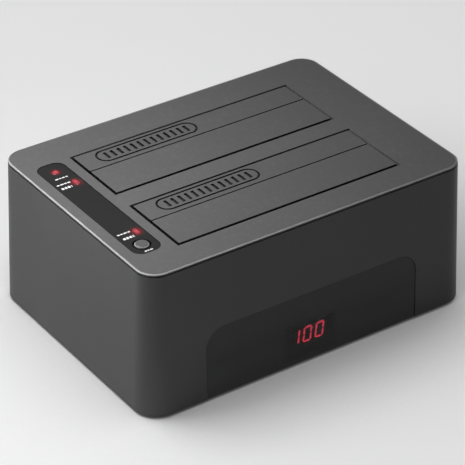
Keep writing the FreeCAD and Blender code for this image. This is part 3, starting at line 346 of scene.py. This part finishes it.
def make_painted_gap_shade():
    """Painted shade: a colour darkened where another surface stands close in front of it, as in
    narrow gaps.
    """
    tree, given, made = effect("gap_shade", [("Colour", COLOUR, GREY), ("Reach", VALUE, 1.5 * MM),
                                           ("Amount", VALUE, 0.9)], [("Colour", COLOUR)])
    near = add(tree, "ShaderNodeAmbientOcclusion", samples=GAP_SAMPLES)
    tree.links.new(given["Reach"], near.inputs["Distance"])
    shut = ranged(tree, near.outputs["AO"], *SHUT_IN)
    share = maths(tree, "MULTIPLY", shut, given["Amount"], clamp=True)
    dark = blend_colour(tree, 1.0, given["Colour"], rgb(GAP_SHADE_DARK), "MULTIPLY")
    tree.links.new(blend_colour(tree, share, given["Colour"], dark), made["Colour"])
    return tree


def make_bevel_mask():
    """Mask of the faces that slope at half a right angle, such as the cover's bevelled rim."""
    tree, given, made = effect("bevel_mask", [("Amount", VALUE, 1.0)], [("Mask", VALUE)])
    height = split(tree, face_normal(tree, "True Normal"))["Z"]
    away = maths(tree, "ABSOLUTE", maths(tree, "SUBTRACT", height, BEVEL_SLOPE))
    slope = ranged(tree, away, *BEVEL_BAND)
    tree.links.new(maths(tree, "MULTIPLY", slope, given["Amount"], clamp=True), made["Mask"])
    return tree


def make_inner_depth():
    """How far a point lies inside a box with rounded edges, and zero outside."""
    tree, given, made = effect("inner_depth", [("Centre", POINT, NOWHERE),
                                               ("Straight", POINT, (0.07, 0.05, 1.0)),
                                               ("Corner", VALUE, 8 * MM)], [("Depth", VALUE)])
    offset = vector_maths(tree, "SUBTRACT", own_place(tree), given["Centre"])[0]
    apart = vector_maths(tree, "ABSOLUTE", offset)[0]
    past = vector_maths(tree, "SUBTRACT", apart, given["Straight"])[0]
    reach = vector_maths(tree, "LENGTH", vector_maths(tree, "MAXIMUM", past)[0])["Value"]
    depth = maths(tree, "SUBTRACT", given["Corner"], reach)
    tree.links.new(maths(tree, "MAXIMUM", depth, 0.0), made["Depth"])
    return tree


def make_far_side():
    """Mask of the level faces to the right and rear of a point, which fades in over a distance."""
    tree, given, made = effect("far_side", [("Centre", POINT, NOWHERE), ("Fade", VALUE, 30 * MM)],
                               [("Mask", VALUE)])
    place = split(tree, vector_maths(tree, "SUBTRACT", own_place(tree), given["Centre"])[0])
    across = maths(tree, "ADD", place["X"], place["Y"])
    far = maths(tree, "DIVIDE", across, given["Fade"], clamp=True)
    level = ranged(tree, split(tree, face_normal(tree, "True Normal"))["Z"], *LEVEL)
    tree.links.new(maths(tree, "MULTIPLY", far, level), made["Mask"])
    return tree


MOULDED_SKIN = make_moulded_skin()
UNEVEN_TONE = make_uneven_tone()
EDGE_WEAR = make_edge_wear()
FINE_DUST = make_fine_dust()
HALO = make_halo()
DRAWN_LINES = make_drawn_lines()
PAINTED_GAP_SHADE = make_painted_gap_shade()
BEVEL_MASK = make_bevel_mask()
INNER_DEPTH = make_inner_depth()
FAR_SIDE = make_far_side()


# ---------------------------------------------------------------- materials
def start(name):
    """An empty node material: (material, tree, its Principled BSDF)."""
    material = bpy.data.materials.new(name)
    material.use_nodes = True
    tree = material.node_tree
    return material, tree, tree.nodes["Principled BSDF"]


def bump(tree, height, depth, normal=None):
    """A bump of the given depth in metres, on a rounded-edge normal if there is one."""
    node = add(tree, "ShaderNodeBump")
    fill(tree, node, Height=height, Strength=1.0, Distance=depth)
    if normal is not None:
        tree.links.new(normal, node.inputs["Normal"])
    return node.outputs["Normal"]


def toned(tree, colour, amount):
    """A colour with an uneven tone."""
    return use(tree, UNEVEN_TONE, Colour=colour, Amount=amount)["Colour"]


def dusted(tree, body, amount, dust):
    """A colour with dust on what faces up."""
    return blend_colour(tree, use(tree, FINE_DUST, Amount=amount)["Mask"], body, rgb(dust))


def middle(node):
    """Middle of a node's box."""
    low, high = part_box(node)
    return (low + high) / 2


def top_middle(node):
    """Middle of the top of a node's box."""
    place = middle(node)
    place.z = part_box(node)[1].z
    return place


def painted_rim_highlight(tree, body, roughness, colour):
    """Painted highlight: bevels in a bright colour and glossier, and a pale painted highlight line
    just inside the cover's right and rear rim.
    """
    bevel = use(tree, BEVEL_MASK, Amount=1.0)["Mask"]
    body = blend_colour(tree, bevel, body, rgb(colour))
    low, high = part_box("top_cover")
    centre = (low + high) / 2
    straight = (high - low) / 2 - Vector((COVER_CORNER, COVER_CORNER, 0.0))
    centre.z, straight.z = 0.0, 1.0
    inside = use(tree, INNER_DEPTH, Centre=centre, Straight=straight, Corner=COVER_CORNER)["Depth"]
    # The painted highlight line: pale just inside the rim, on the right and rear side only.
    line = ranged(tree, inside, RIM_HIGHLIGHT_LINE / 2, RIM_HIGHLIGHT_LINE, RIM_HIGHLIGHT_SHARE, 0.0)
    far = use(tree, FAR_SIDE, Centre=centre, Fade=RIM_HIGHLIGHT_FADE)["Mask"]
    body = blend_colour(tree, maths(tree, "MULTIPLY", line, far), body, rgb(colour))
    gloss = maths(tree, "MULTIPLY", bevel, BEVEL_GLOSS)
    return body, maths(tree, "SUBTRACT", roughness, gloss, clamp=True)


def moulded(name, colour, rough, grain=FINE_SKIN, depth=12 * MICRON, wear=0.35, worn_colour=None,
            dust=0.15, specular=0.4, rim_highlight_colour=None, gap_shade=0.0):
    """Moulded plastic or rubber: spark texture, uneven tone, soft worn edges and a trace of dust.

    A painted highlight colour shows on bevels, and painted shade darkens the sides of gaps narrower
    than its reach."""
    material, tree, shader = start(name)
    skin = use(tree, MOULDED_SKIN, Scale=grain, Roughness=rough)
    edges = use(tree, EDGE_WEAR, Width=0.22 * MM, Amount=wear)
    if worn_colour is None:
        worn_colour = tuple(min(1.0, tone * WORN_GAIN + WORN_LIFT) for tone in rgb(colour)[:3])
    body = blend_colour(tree, edges["Mask"], toned(tree, rgb(colour), 0.16), rgb(worn_colour))
    body = dusted(tree, body, dust, DUST)
    roughness = skin["Roughness"]
    # Painted highlight on bevels and along the far rim.
    if rim_highlight_colour is not None:
        body, roughness = painted_rim_highlight(tree, body, roughness, rim_highlight_colour)
    # Painted shade on the sides of narrow gaps and in the groove under the rim.
    if gap_shade:
        body = use(tree, PAINTED_GAP_SHADE, Colour=body, Reach=gap_shade, Amount=1.0)["Colour"]
    fill(tree, shader, Base_Color=body, Roughness=roughness, Specular_IOR_Level=specular,
         Normal=bump(tree, skin["Height"], depth, edges["Normal"]))
    return material


def metal(name, colour, rough, stretch):
    """Metal with drawn or ground lines and brighter worn edges."""
    material, tree, shader = start(name)
    lines = use(tree, DRAWN_LINES, Stretch=stretch, Roughness=rough)
    edges = use(tree, EDGE_WEAR, Width=0.12 * MM, Amount=0.4)
    bright = tuple(min(1.0, tone * METAL_GAIN) for tone in colour)
    body = blend_colour(tree, edges["Mask"], toned(tree, rgb(colour), 0.2), rgb(bright))
    fill(tree, shader, Base_Color=body, Metallic=1.0, Roughness=lines["Roughness"],
         Normal=bump(tree, lines["Height"], 4 * MICRON, edges["Normal"]))
    return material


def make_panel_finish():
    """Satin dark inlay with painted shade in its gaps and a painted red glow, emitted by the inlay,
    round each lit light.
    """
    material, tree, shader = start("strip_inlay")
    skin = use(tree, MOULDED_SKIN, Scale=1300.0, Roughness=0.42)
    edges = use(tree, EDGE_WEAR, Width=0.12 * MM, Amount=0.3)
    body = blend_colour(tree, edges["Mask"], toned(tree, rgb(STRIP_BLACK), 0.15), rgb(STRIP_EDGE))
    body = dusted(tree, body, 0.03, STRIP_DUST)
    # Painted shade in the gaps round the button.
    body = use(tree, PAINTED_GAP_SHADE, Colour=body, Reach=1.5 * MM, Amount=1.0)["Colour"]
    # Painted red glow: the inlay emits red round each lit light.
    glow = 0.0
    for node, reach in STRIP_GLOWS:
        centre = middle(node)
        centre.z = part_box("indicator_panel")[1].z
        glow = maths(tree, "ADD", glow, use(tree, HALO, Centre=centre, Reach=reach)["Mask"])
    fill(tree, shader, Base_Color=body, Roughness=skin["Roughness"], Specular_IOR_Level=0.12,
         Normal=bump(tree, skin["Height"], 6 * MICRON, edges["Normal"]),
         Emission_Color=blend_colour(tree, glow, rgb(0.0), rgb(PAINTED_RED_GLOW)), Emission_Strength=1.0)
    return material


def red_lens(name, strength):
    """Red clear plastic, lit from inside with a given strength: (material, tree, shader)."""
    material, tree, shader = start(name)
    skin = use(tree, MOULDED_SKIN, Scale=700.0, Roughness=0.25)
    fill(tree, shader, Base_Color=toned(tree, rgb(LIGHT_PIPE), 0.2), Roughness=skin["Roughness"],
         Normal=bump(tree, skin["Height"], 4 * MICRON), Emission_Strength=strength)
    return material, tree, shader


def make_light_finish(name, node, reach, strength):
    """Lit red light pipe: pale in its middle, deep red towards its rim."""
    material, tree, shader = red_lens(name, strength)
    mask = use(tree, HALO, Centre=top_middle(node), Reach=reach)["Mask"]
    fill(tree, shader, Emission_Color=blend_colour(tree, mask, rgb(RED_RIM), rgb(RED_CORE)))
    return material


def make_digit_finish():
    """Lit bars of the display, one even red, bright enough for the smoked window."""
    material, tree, shader = red_lens("lit_digit", DIGIT_STRENGTH)
    fill(tree, shader, Emission_Color=rgb(DIGIT_RED))
    return material


def make_window_finish():
    """Smoked polished panel, a little clearer before the display, where the lit digits show, and
    painted paler towards its foot to make up for the shade near the floor.
    """
    material, tree, shader = start("smoked_window")
    where = own_place(tree)
    edges = use(tree, EDGE_WEAR, Width=0.3 * MM, Amount=0.25)
    foot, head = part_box("front_window")
    # Painted light: the smoke is made paler towards the foot, making up for the shade near the
    # floor.
    lower = ranged(tree, split(tree, where)["Z"], foot.z, (foot.z + head.z) / 2, 1.0, 0.0)
    smoke = blend_colour(tree, lower, rgb(SMOKE), rgb(SMOKE_PAINTED_LIGHTER_AT_FOOT))
    body = blend_colour(tree, edges["Mask"], toned(tree, smoke, 0.2), rgb(SMOKE_EDGE))
    low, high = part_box("display_module")
    straight = (high - low) / 2 + Vector((CLEAR_MARGIN, 0.0, CLEAR_MARGIN))
    straight.y = 1.0
    clear = use(tree, INNER_DEPTH, Centre=middle("display_module"), Straight=straight,
                Corner=CLEAR_FADE)["Depth"]
    smudges = noise(tree, where, SMUDGES, detail=4.0, roughness=0.6)
    waves = noise(tree, where, PANE_WAVES, detail=1.0)
    fill(tree, shader, Base_Color=body, Specular_IOR_Level=0.18,
         Roughness=ranged(tree, smudges, *SMUDGE_PATCHES, *PANE_ROUGHNESS),
         Alpha=ranged(tree, clear, 0.0, CLEAR_FADE, 1.0, CLEAR_ALPHA),
         Normal=bump(tree, waves, 30 * MICRON, edges["Normal"]))
    return material


def make_board_finish():
    """Green solder mask over faint copper tracks, with plated holes."""
    material, tree, shader = start("solder_mask")
    where = own_place(tree)
    tracks = add(tree, "ShaderNodeTexBrick", offset=0.35, squash=0.6)
    fill(tree, tracks, Vector=where, Scale=420.0, Mortar_Size=0.06, Mortar_Smooth=0.4,
         Brick_Width=1.3, Row_Height=0.4)
    holes = add(tree, "ShaderNodeTexVoronoi")
    fill(tree, holes, Vector=where, Scale=260.0)
    ring = ranged(tree, holes.outputs["Distance"], *RING)
    mask = toned(tree, rgb(SOLDER_GREEN), 0.3)
    body = blend_colour(tree, tracks.outputs["Fac"], mask, rgb(TRACK_GREEN))
    body = blend_colour(tree, ring, body, rgb(PLATED_RING))
    fill(tree, shader, Base_Color=body, Roughness=0.3, Metallic=maths(tree, "MULTIPLY", ring, 0.8),
         Normal=bump(tree, tracks.outputs["Fac"], 30 * MICRON))
    return material


def make_cable_finish():
    """Pale flat cable with its wires side by side."""
    material, tree, shader = start("flat_cable_skin")
    wires = add(tree, "ShaderNodeTexWave", wave_type="BANDS", bands_direction="Y",
                wave_profile="SIN")
    fill(tree, wires, Vector=own_place(tree), Scale=160.0)
    ridges = wires.outputs["Fac"]
    body = blend_colour(tree, ridges, rgb(CABLE_SEAM), rgb(CABLE_WIRE))
    fill(tree, shader, Base_Color=body, Roughness=0.45, Normal=bump(tree, ridges, 100 * MICRON))
    return material


def make_finishes():
    """Every material slot of the part with its Blender material."""
    return {
        # Shell and button carry a painted highlight on their bevels; shell, flap and button carry
        # painted shade in their gaps.
        "shell": moulded("charcoal_satin", CHARCOAL, 0.46, worn_colour=WORN_CHARCOAL, wear=0.15,
                         specular=0.2, rim_highlight_colour=0.50, gap_shade=0.7 * MM),
        "flap": moulded("charcoal_satin_flap", FLAP_CHARCOAL, 0.44, worn_colour=WORN_CHARCOAL,
                        wear=0.1, specular=0.2, gap_shade=1.5 * MM),
        "window": make_window_finish(),
        "base": moulded("base_moulding", 0.030, 0.62, grain=600.0, depth=30 * MICRON, specular=0.3),
        "rubber": moulded("foot_rubber", 0.018, 0.80, grain=500.0, depth=40 * MICRON, wear=0.2,
                          specular=0.25),
        "well": moulded("well_moulding", 0.016, 0.60, grain=600.0, depth=20 * MICRON, specular=0.25,
                        dust=0.08),
        "steel": metal("ground_pin", (0.60, 0.60, 0.62), 0.28, (60.0, 3000.0, 3000.0)),
        "spring_steel": metal("drawn_wire", (0.46, 0.46, 0.48), 0.35, (3000.0, 200.0, 200.0)),
        "panel": make_panel_finish(),
        "button": moulded("button_satin", BUTTON_GREY, 0.36, grain=1500.0, depth=5 * MICRON,
                          worn_colour=WORN_BUTTON, wear=0.3, specular=0.5, dust=0.05,
                          rim_highlight_colour=0.36, gap_shade=1.2 * MM),
        "switch_case": moulded("switch_moulding", 0.04, 0.55),
        "plunger": moulded("plunger_moulding", 0.22, 0.50),
        "circuit_board": make_board_finish(),
        "led": moulded("led_package", (0.72, 0.72, 0.66), 0.40, dust=0.0, wear=0.1),
        "socket_plastic": moulded("socket_moulding", 0.014, 0.50, specular=0.35),
        "contact": metal("gold_flash", (0.80, 0.58, 0.20), 0.25, (3000.0, 3000.0, 80.0)),
        "shield": metal("plated_shield", (0.62, 0.62, 0.63), 0.30, (80.0, 900.0, 900.0)),
        "tongue": moulded("blue_tongue", (0.010, 0.055, 0.42), 0.45, dust=0.02, wear=0.1),
        "power_key": moulded("key_satin", 0.022, 0.35, grain=1500.0, depth=5 * MICRON),
        "chip": moulded("chip_epoxy", 0.022, 0.60, grain=1800.0, depth=10 * MICRON, wear=0.15),
        "ferrite": moulded("ferrite_coat", 0.07, 0.70, grain=1200.0, depth=20 * MICRON),
        "can": metal("can_sleeve", (0.52, 0.52, 0.54), 0.38, (900.0, 900.0, 60.0)),
        "display_face": moulded("display_epoxy", (0.020, 0.018, 0.018), 0.5, dust=0.0, wear=0.1),
        "lit_red": make_digit_finish(),
        "dark_segment": moulded("dark_bar", (0.030, 0.016, 0.016), 0.35, dust=0.0, wear=0.0),
        "connector": moulded("header_moulding", (0.62, 0.60, 0.50), 0.45),
        "cable": make_cable_finish(),
        "screw": metal("zinc_screw", (0.36, 0.36, 0.37), 0.33, (700.0, 700.0, 700.0)),
    }


def make_light_pipes():
    """The three lit lights of the strip, each node with its own material."""
    pipes = (("lit_dot", "power_light_lens", 1.9 * MM, 1.0),
             ("lit_bar_source", "source_light_lens", 2.9 * MM, 0.75),
             ("lit_bar_target", "target_light_lens", 2.9 * MM, 0.75))
    return {node: make_light_finish(name, node, reach, strength)
            for name, node, reach, strength in pipes}


def dress(finishes, lights):
    """Gives each node of the part its material."""
    slots = {row["node"]: row["material_slot"] for row in frame["record"]["subparts"]}
    for name, piece in frame["nodes"].items():
        piece.data.materials.clear()
        piece.data.materials.append(lights.get(name) or finishes[slots[name]])


# ---------------------------------------------------------------- printed marks
MARK_THICKNESS = 0.03 * MM
MARK_GAP = 0.28 * MM
MARK_CLIP = 0.22
NUMBER_WIDTH = 0.55
NUMBER_LINE = 0.20
SMALL = 0.75 * MM
LARGE = 1.45 * MM
SHORT_DASHES = (1.1, 1.1, 1.1)

# Each mark's node to stand by, and its rows: offset to the right and to the rear and dash
# lengths in millimetres, height of the dashes, and the plain number that ends the row.
MARKS = {
    "power_mark": ("power_light_lens", [(-0.3, -5.1, (1.5, 0.9, 1.3, 1.1), SMALL, None)]),
    "source_mark": ("source_light_lens", [(-4.9, 1.3, (1.2, 1.6, 1.1, 1.3), SMALL, None),
                                          (-5.6, -1.8, SHORT_DASHES, LARGE, 1)]),
    "target_mark": ("target_light_lens", [(-4.9, 1.3, (1.2, 1.0, 1.5, 1.2), SMALL, None),
                                          (-5.3, -2.2, SHORT_DASHES, LARGE, 2)]),
    "button_mark": ("clone_button", [(0.0, -4.9, (1.0, 0.8, 1.3), SMALL, None)]),
}


def mark_bar(mesh, low_x, high_x, low_y, high_y, z):
    """One printed bar with clipped corners, a hair proud of the strip."""
    clip = min(high_x - low_x, high_y - low_y) * MARK_CLIP
    outline = [(low_x + clip, low_y), (high_x - clip, low_y), (high_x, low_y + clip),
               (high_x, high_y - clip), (high_x - clip, high_y), (low_x + clip, high_y),
               (low_x, high_y - clip), (low_x, low_y + clip)]
    lower = [mesh.verts.new((x, y, z)) for x, y in outline]
    upper = [mesh.verts.new((x, y, z + MARK_THICKNESS)) for x, y in outline]
    mesh.faces.new(upper)
    mesh.faces.new(lower[::-1])
    for number, corner in enumerate(lower):
        following = (number + 1) % len(lower)
        mesh.faces.new((corner, lower[following], upper[following], upper[number]))


def mark_row(mesh, x, y, lengths, height, z):
    """A row of printed dashes about a middle, side by side along X. Gives the row's end."""
    x -= (sum(lengths) + MARK_GAP * (len(lengths) - 1)) / 2
    for length in lengths:
        mark_bar(mesh, x, x + length, y - height / 2, y + height / 2, z)
        x += length + MARK_GAP
    return x


def mark_number(mesh, number, x, y, height, z):
    """The plain number 1 or 2, from upright and level bars."""
    width = height * NUMBER_WIDTH
    line = height * NUMBER_LINE
    top, bottom = y + height / 2, y - height / 2
    if number == 1:
        mark_bar(mesh, x + width / 2 - line / 2, x + width / 2 + line / 2, bottom, top, z)
        return
    mark_bar(mesh, x, x + width, top - line, top, z)
    mark_bar(mesh, x, x + width, y - line / 2, y + line / 2, z)
    mark_bar(mesh, x, x + width, bottom, bottom + line, z)
    mark_bar(mesh, x + width - line, x + width, y + line / 2, top - line, z)
    mark_bar(mesh, x, x + line, bottom + line, y - line / 2, z)


def make_ink():
    """White printing ink."""
    ink, tree, shader = start("printed_ink")
    skin = use(tree, MOULDED_SKIN, Scale=1800.0, Roughness=0.5)
    fill(tree, shader, Base_Color=toned(tree, rgb(INK_WHITE), 0.12), Roughness=skin["Roughness"],
         Normal=bump(tree, skin["Height"], 4 * MICRON))
    return ink


def make_marks():
    """White printed marks beside each light and the button, as one piece for each place."""
    ink = make_ink()
    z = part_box("indicator_panel")[1].z - MARK_THICKNESS / 3
    for name, (beside, rows) in MARKS.items():
        place = middle(beside)
        mesh = bmesh.new()
        for right, rear, lengths, height, number in rows:
            x, y = place.x + right * MM, place.y + rear * MM
            end = mark_row(mesh, x, y, [length * MM for length in lengths], height, z)
            if number:
                mark_number(mesh, number, end, y, height, z)
        data = bpy.data.meshes.new(name)
        mesh.to_mesh(data)
        mesh.free()
        piece = bpy.data.objects.new(name, data)
        piece.data.materials.append(ink)
        bpy.context.scene.collection.objects.link(piece)
        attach(piece, DOCK)


# ---------------------------------------------------------------- floor, lights and camera
FLOOR_SIZE = 12.0
FLOOR_TONES = (0.48, 0.52)
FLOOR_GLOW = 0.62
FLOOR_TOWARDS_PART = 0.70
# Painted shadow in the floor's glow: how far from the part it reaches, and how steeply it falls
# off.
SHADE_REACH = 0.20
SHADE_POWER = 1.6
SURROUND = (0.98, 0.99, 1.0)
SURROUND_STRENGTH = 0.035
BACKDROP = 0.5

# Each soft box: name, place from the part's middle, width, height, power in watts.
LAMPS = (
    ("key", (-0.109, 0.018, 0.190), 0.10, 0.12, 0.41),
    ("rim_light", (-0.20, -0.13, 0.21), 0.04, 0.04, 0.055),
    ("corner_fill", (-0.60, -0.50, -0.01), 0.5, 0.04, 0.20),
    ("front_fill", (0.25, -0.80, -0.01), 0.5, 0.04, 0.02),
    ("right_fill", (0.80, 0.10, -0.01), 0.5, 0.04, 0.45),
    ("back_fill", (-0.10, 0.60, 0.30), 0.4, 0.3, 0.40),
)

# Camera: degrees round from the front, with a minus to the left, and above the floor; distance
# from its aim, and the aim from the part's middle; lens and sensor in millimetres.
VIEW_TURN = -34.374
VIEW_RISE = 32.351
VIEW_DISTANCE = 1.03
VIEW_AIM = (2.5 * MM, 3.9 * MM, -5.35 * MM)
SENSOR_WIDTH = 36.0
LENS = 196.9


def empty_tree(owner):
    """The cleared node tree of a material or a world."""
    owner.use_nodes = True
    owner.node_tree.nodes.clear()
    return owner.node_tree


def show_apart(tree, towards_part, seen, kind):
    """One shader for the light that reaches the part, and one for camera, mirrors and glass."""
    rays = add(tree, "ShaderNodeLightPath").outputs
    direct = maths(tree, "MAXIMUM", rays["Is Camera Ray"], rays["Is Transmission Ray"])
    mix = add(tree, "ShaderNodeMixShader")
    tree.links.new(maths(tree, "MAXIMUM", direct, rays["Is Glossy Ray"]), mix.inputs[0])
    tree.links.new(towards_part.outputs[0], mix.inputs[1])
    tree.links.new(seen.outputs[0], mix.inputs[2])
    tree.links.new(mix.outputs[0], add(tree, kind).inputs["Surface"])


def make_floor():
    """Wide pale floor. It looks pale, has a painted shadow under the part, where its glow is
    dimmed, and throws back little light on it.
    """
    bpy.ops.mesh.primitive_plane_add(size=FLOOR_SIZE, location=(0.0, 0.0, cad_low.z))
    floor = bpy.context.object
    floor.name = "floor"
    material = bpy.data.materials.new("pale_floor")
    tree = empty_tree(material)
    clouds = noise(tree, own_place(tree), FLOOR_CLOUDS)
    pale = fill(tree, add(tree, "ShaderNodeBsdfDiffuse"),
                Color=blend_colour(tree, clouds, *(rgb(tone) for tone in FLOOR_TONES)))
    # Painted shadow: the floor's glow is dimmed where the part stands close.
    near = add(tree, "ShaderNodeAmbientOcclusion", samples=GAP_SAMPLES)
    fill(tree, near, Distance=SHADE_REACH)
    unshaded = maths(tree, "POWER", near.outputs["AO"], SHADE_POWER)
    even = fill(tree, add(tree, "ShaderNodeEmission"),
                Color=blend_colour(tree, unshaded, rgb(0.0), rgb(FLOOR_GLOW)))
    lit = add(tree, "ShaderNodeAddShader")
    tree.links.new(pale.outputs[0], lit.inputs[0])
    tree.links.new(even.outputs[0], lit.inputs[1])
    dim = fill(tree, add(tree, "ShaderNodeBsdfDiffuse"), Color=rgb(FLOOR_TOWARDS_PART))
    show_apart(tree, dim, lit, "ShaderNodeOutputMaterial")
    floor.data.materials.append(material)


def make_light(name, place, aim, width, height, power):
    """One soft box that faces a point."""
    data = bpy.data.lights.new(name, "AREA")
    data.shape = "RECTANGLE"
    data.size = width
    data.size_y = height
    data.energy = power
    light = bpy.data.objects.new(name, data)
    light.location = place
    light.rotation_euler = (aim - place).to_track_quat("-Z", "Y").to_euler()
    bpy.context.scene.collection.objects.link(light)


def make_lights():
    """Key and rim light at the upper left, low fills round the part, one behind, dim surround."""
    for name, offset, width, height, power in LAMPS:
        make_light(name, CENTRE + Vector(offset), CENTRE, width, height, power)
    world = bpy.data.worlds.new("studio")
    bpy.context.scene.world = world
    tree = empty_tree(world)
    dim = fill(tree, add(tree, "ShaderNodeBackground"), Color=rgb(SURROUND),
               Strength=SURROUND_STRENGTH)
    bright = fill(tree, add(tree, "ShaderNodeBackground"), Color=rgb(BACKDROP), Strength=1.0)
    show_apart(tree, dim, bright, "ShaderNodeOutputWorld")


def make_camera():
    """Long lens, from the front left and above."""
    turn, rise = math.radians(VIEW_TURN), math.radians(VIEW_RISE)
    back = Vector((math.sin(turn) * math.cos(rise), -math.cos(turn) * math.cos(rise),
                   math.sin(rise)))
    data = bpy.data.cameras.new("camera")
    data.sensor_width = SENSOR_WIDTH
    data.lens = LENS
    camera = bpy.data.objects.new("camera", data)
    camera.location = CENTRE + Vector(VIEW_AIM) + back * VIEW_DISTANCE
    camera.rotation_mode = "QUATERNION"
    camera.rotation_quaternion = (-back).to_track_quat("-Z", "Y")
    bpy.context.scene.collection.objects.link(camera)
    bpy.context.scene.camera = camera


dress(make_finishes(), make_light_pipes())
make_marks()
make_floor()
make_lights()
make_camera()
bpy.context.scene.view_settings.view_transform = "Standard"
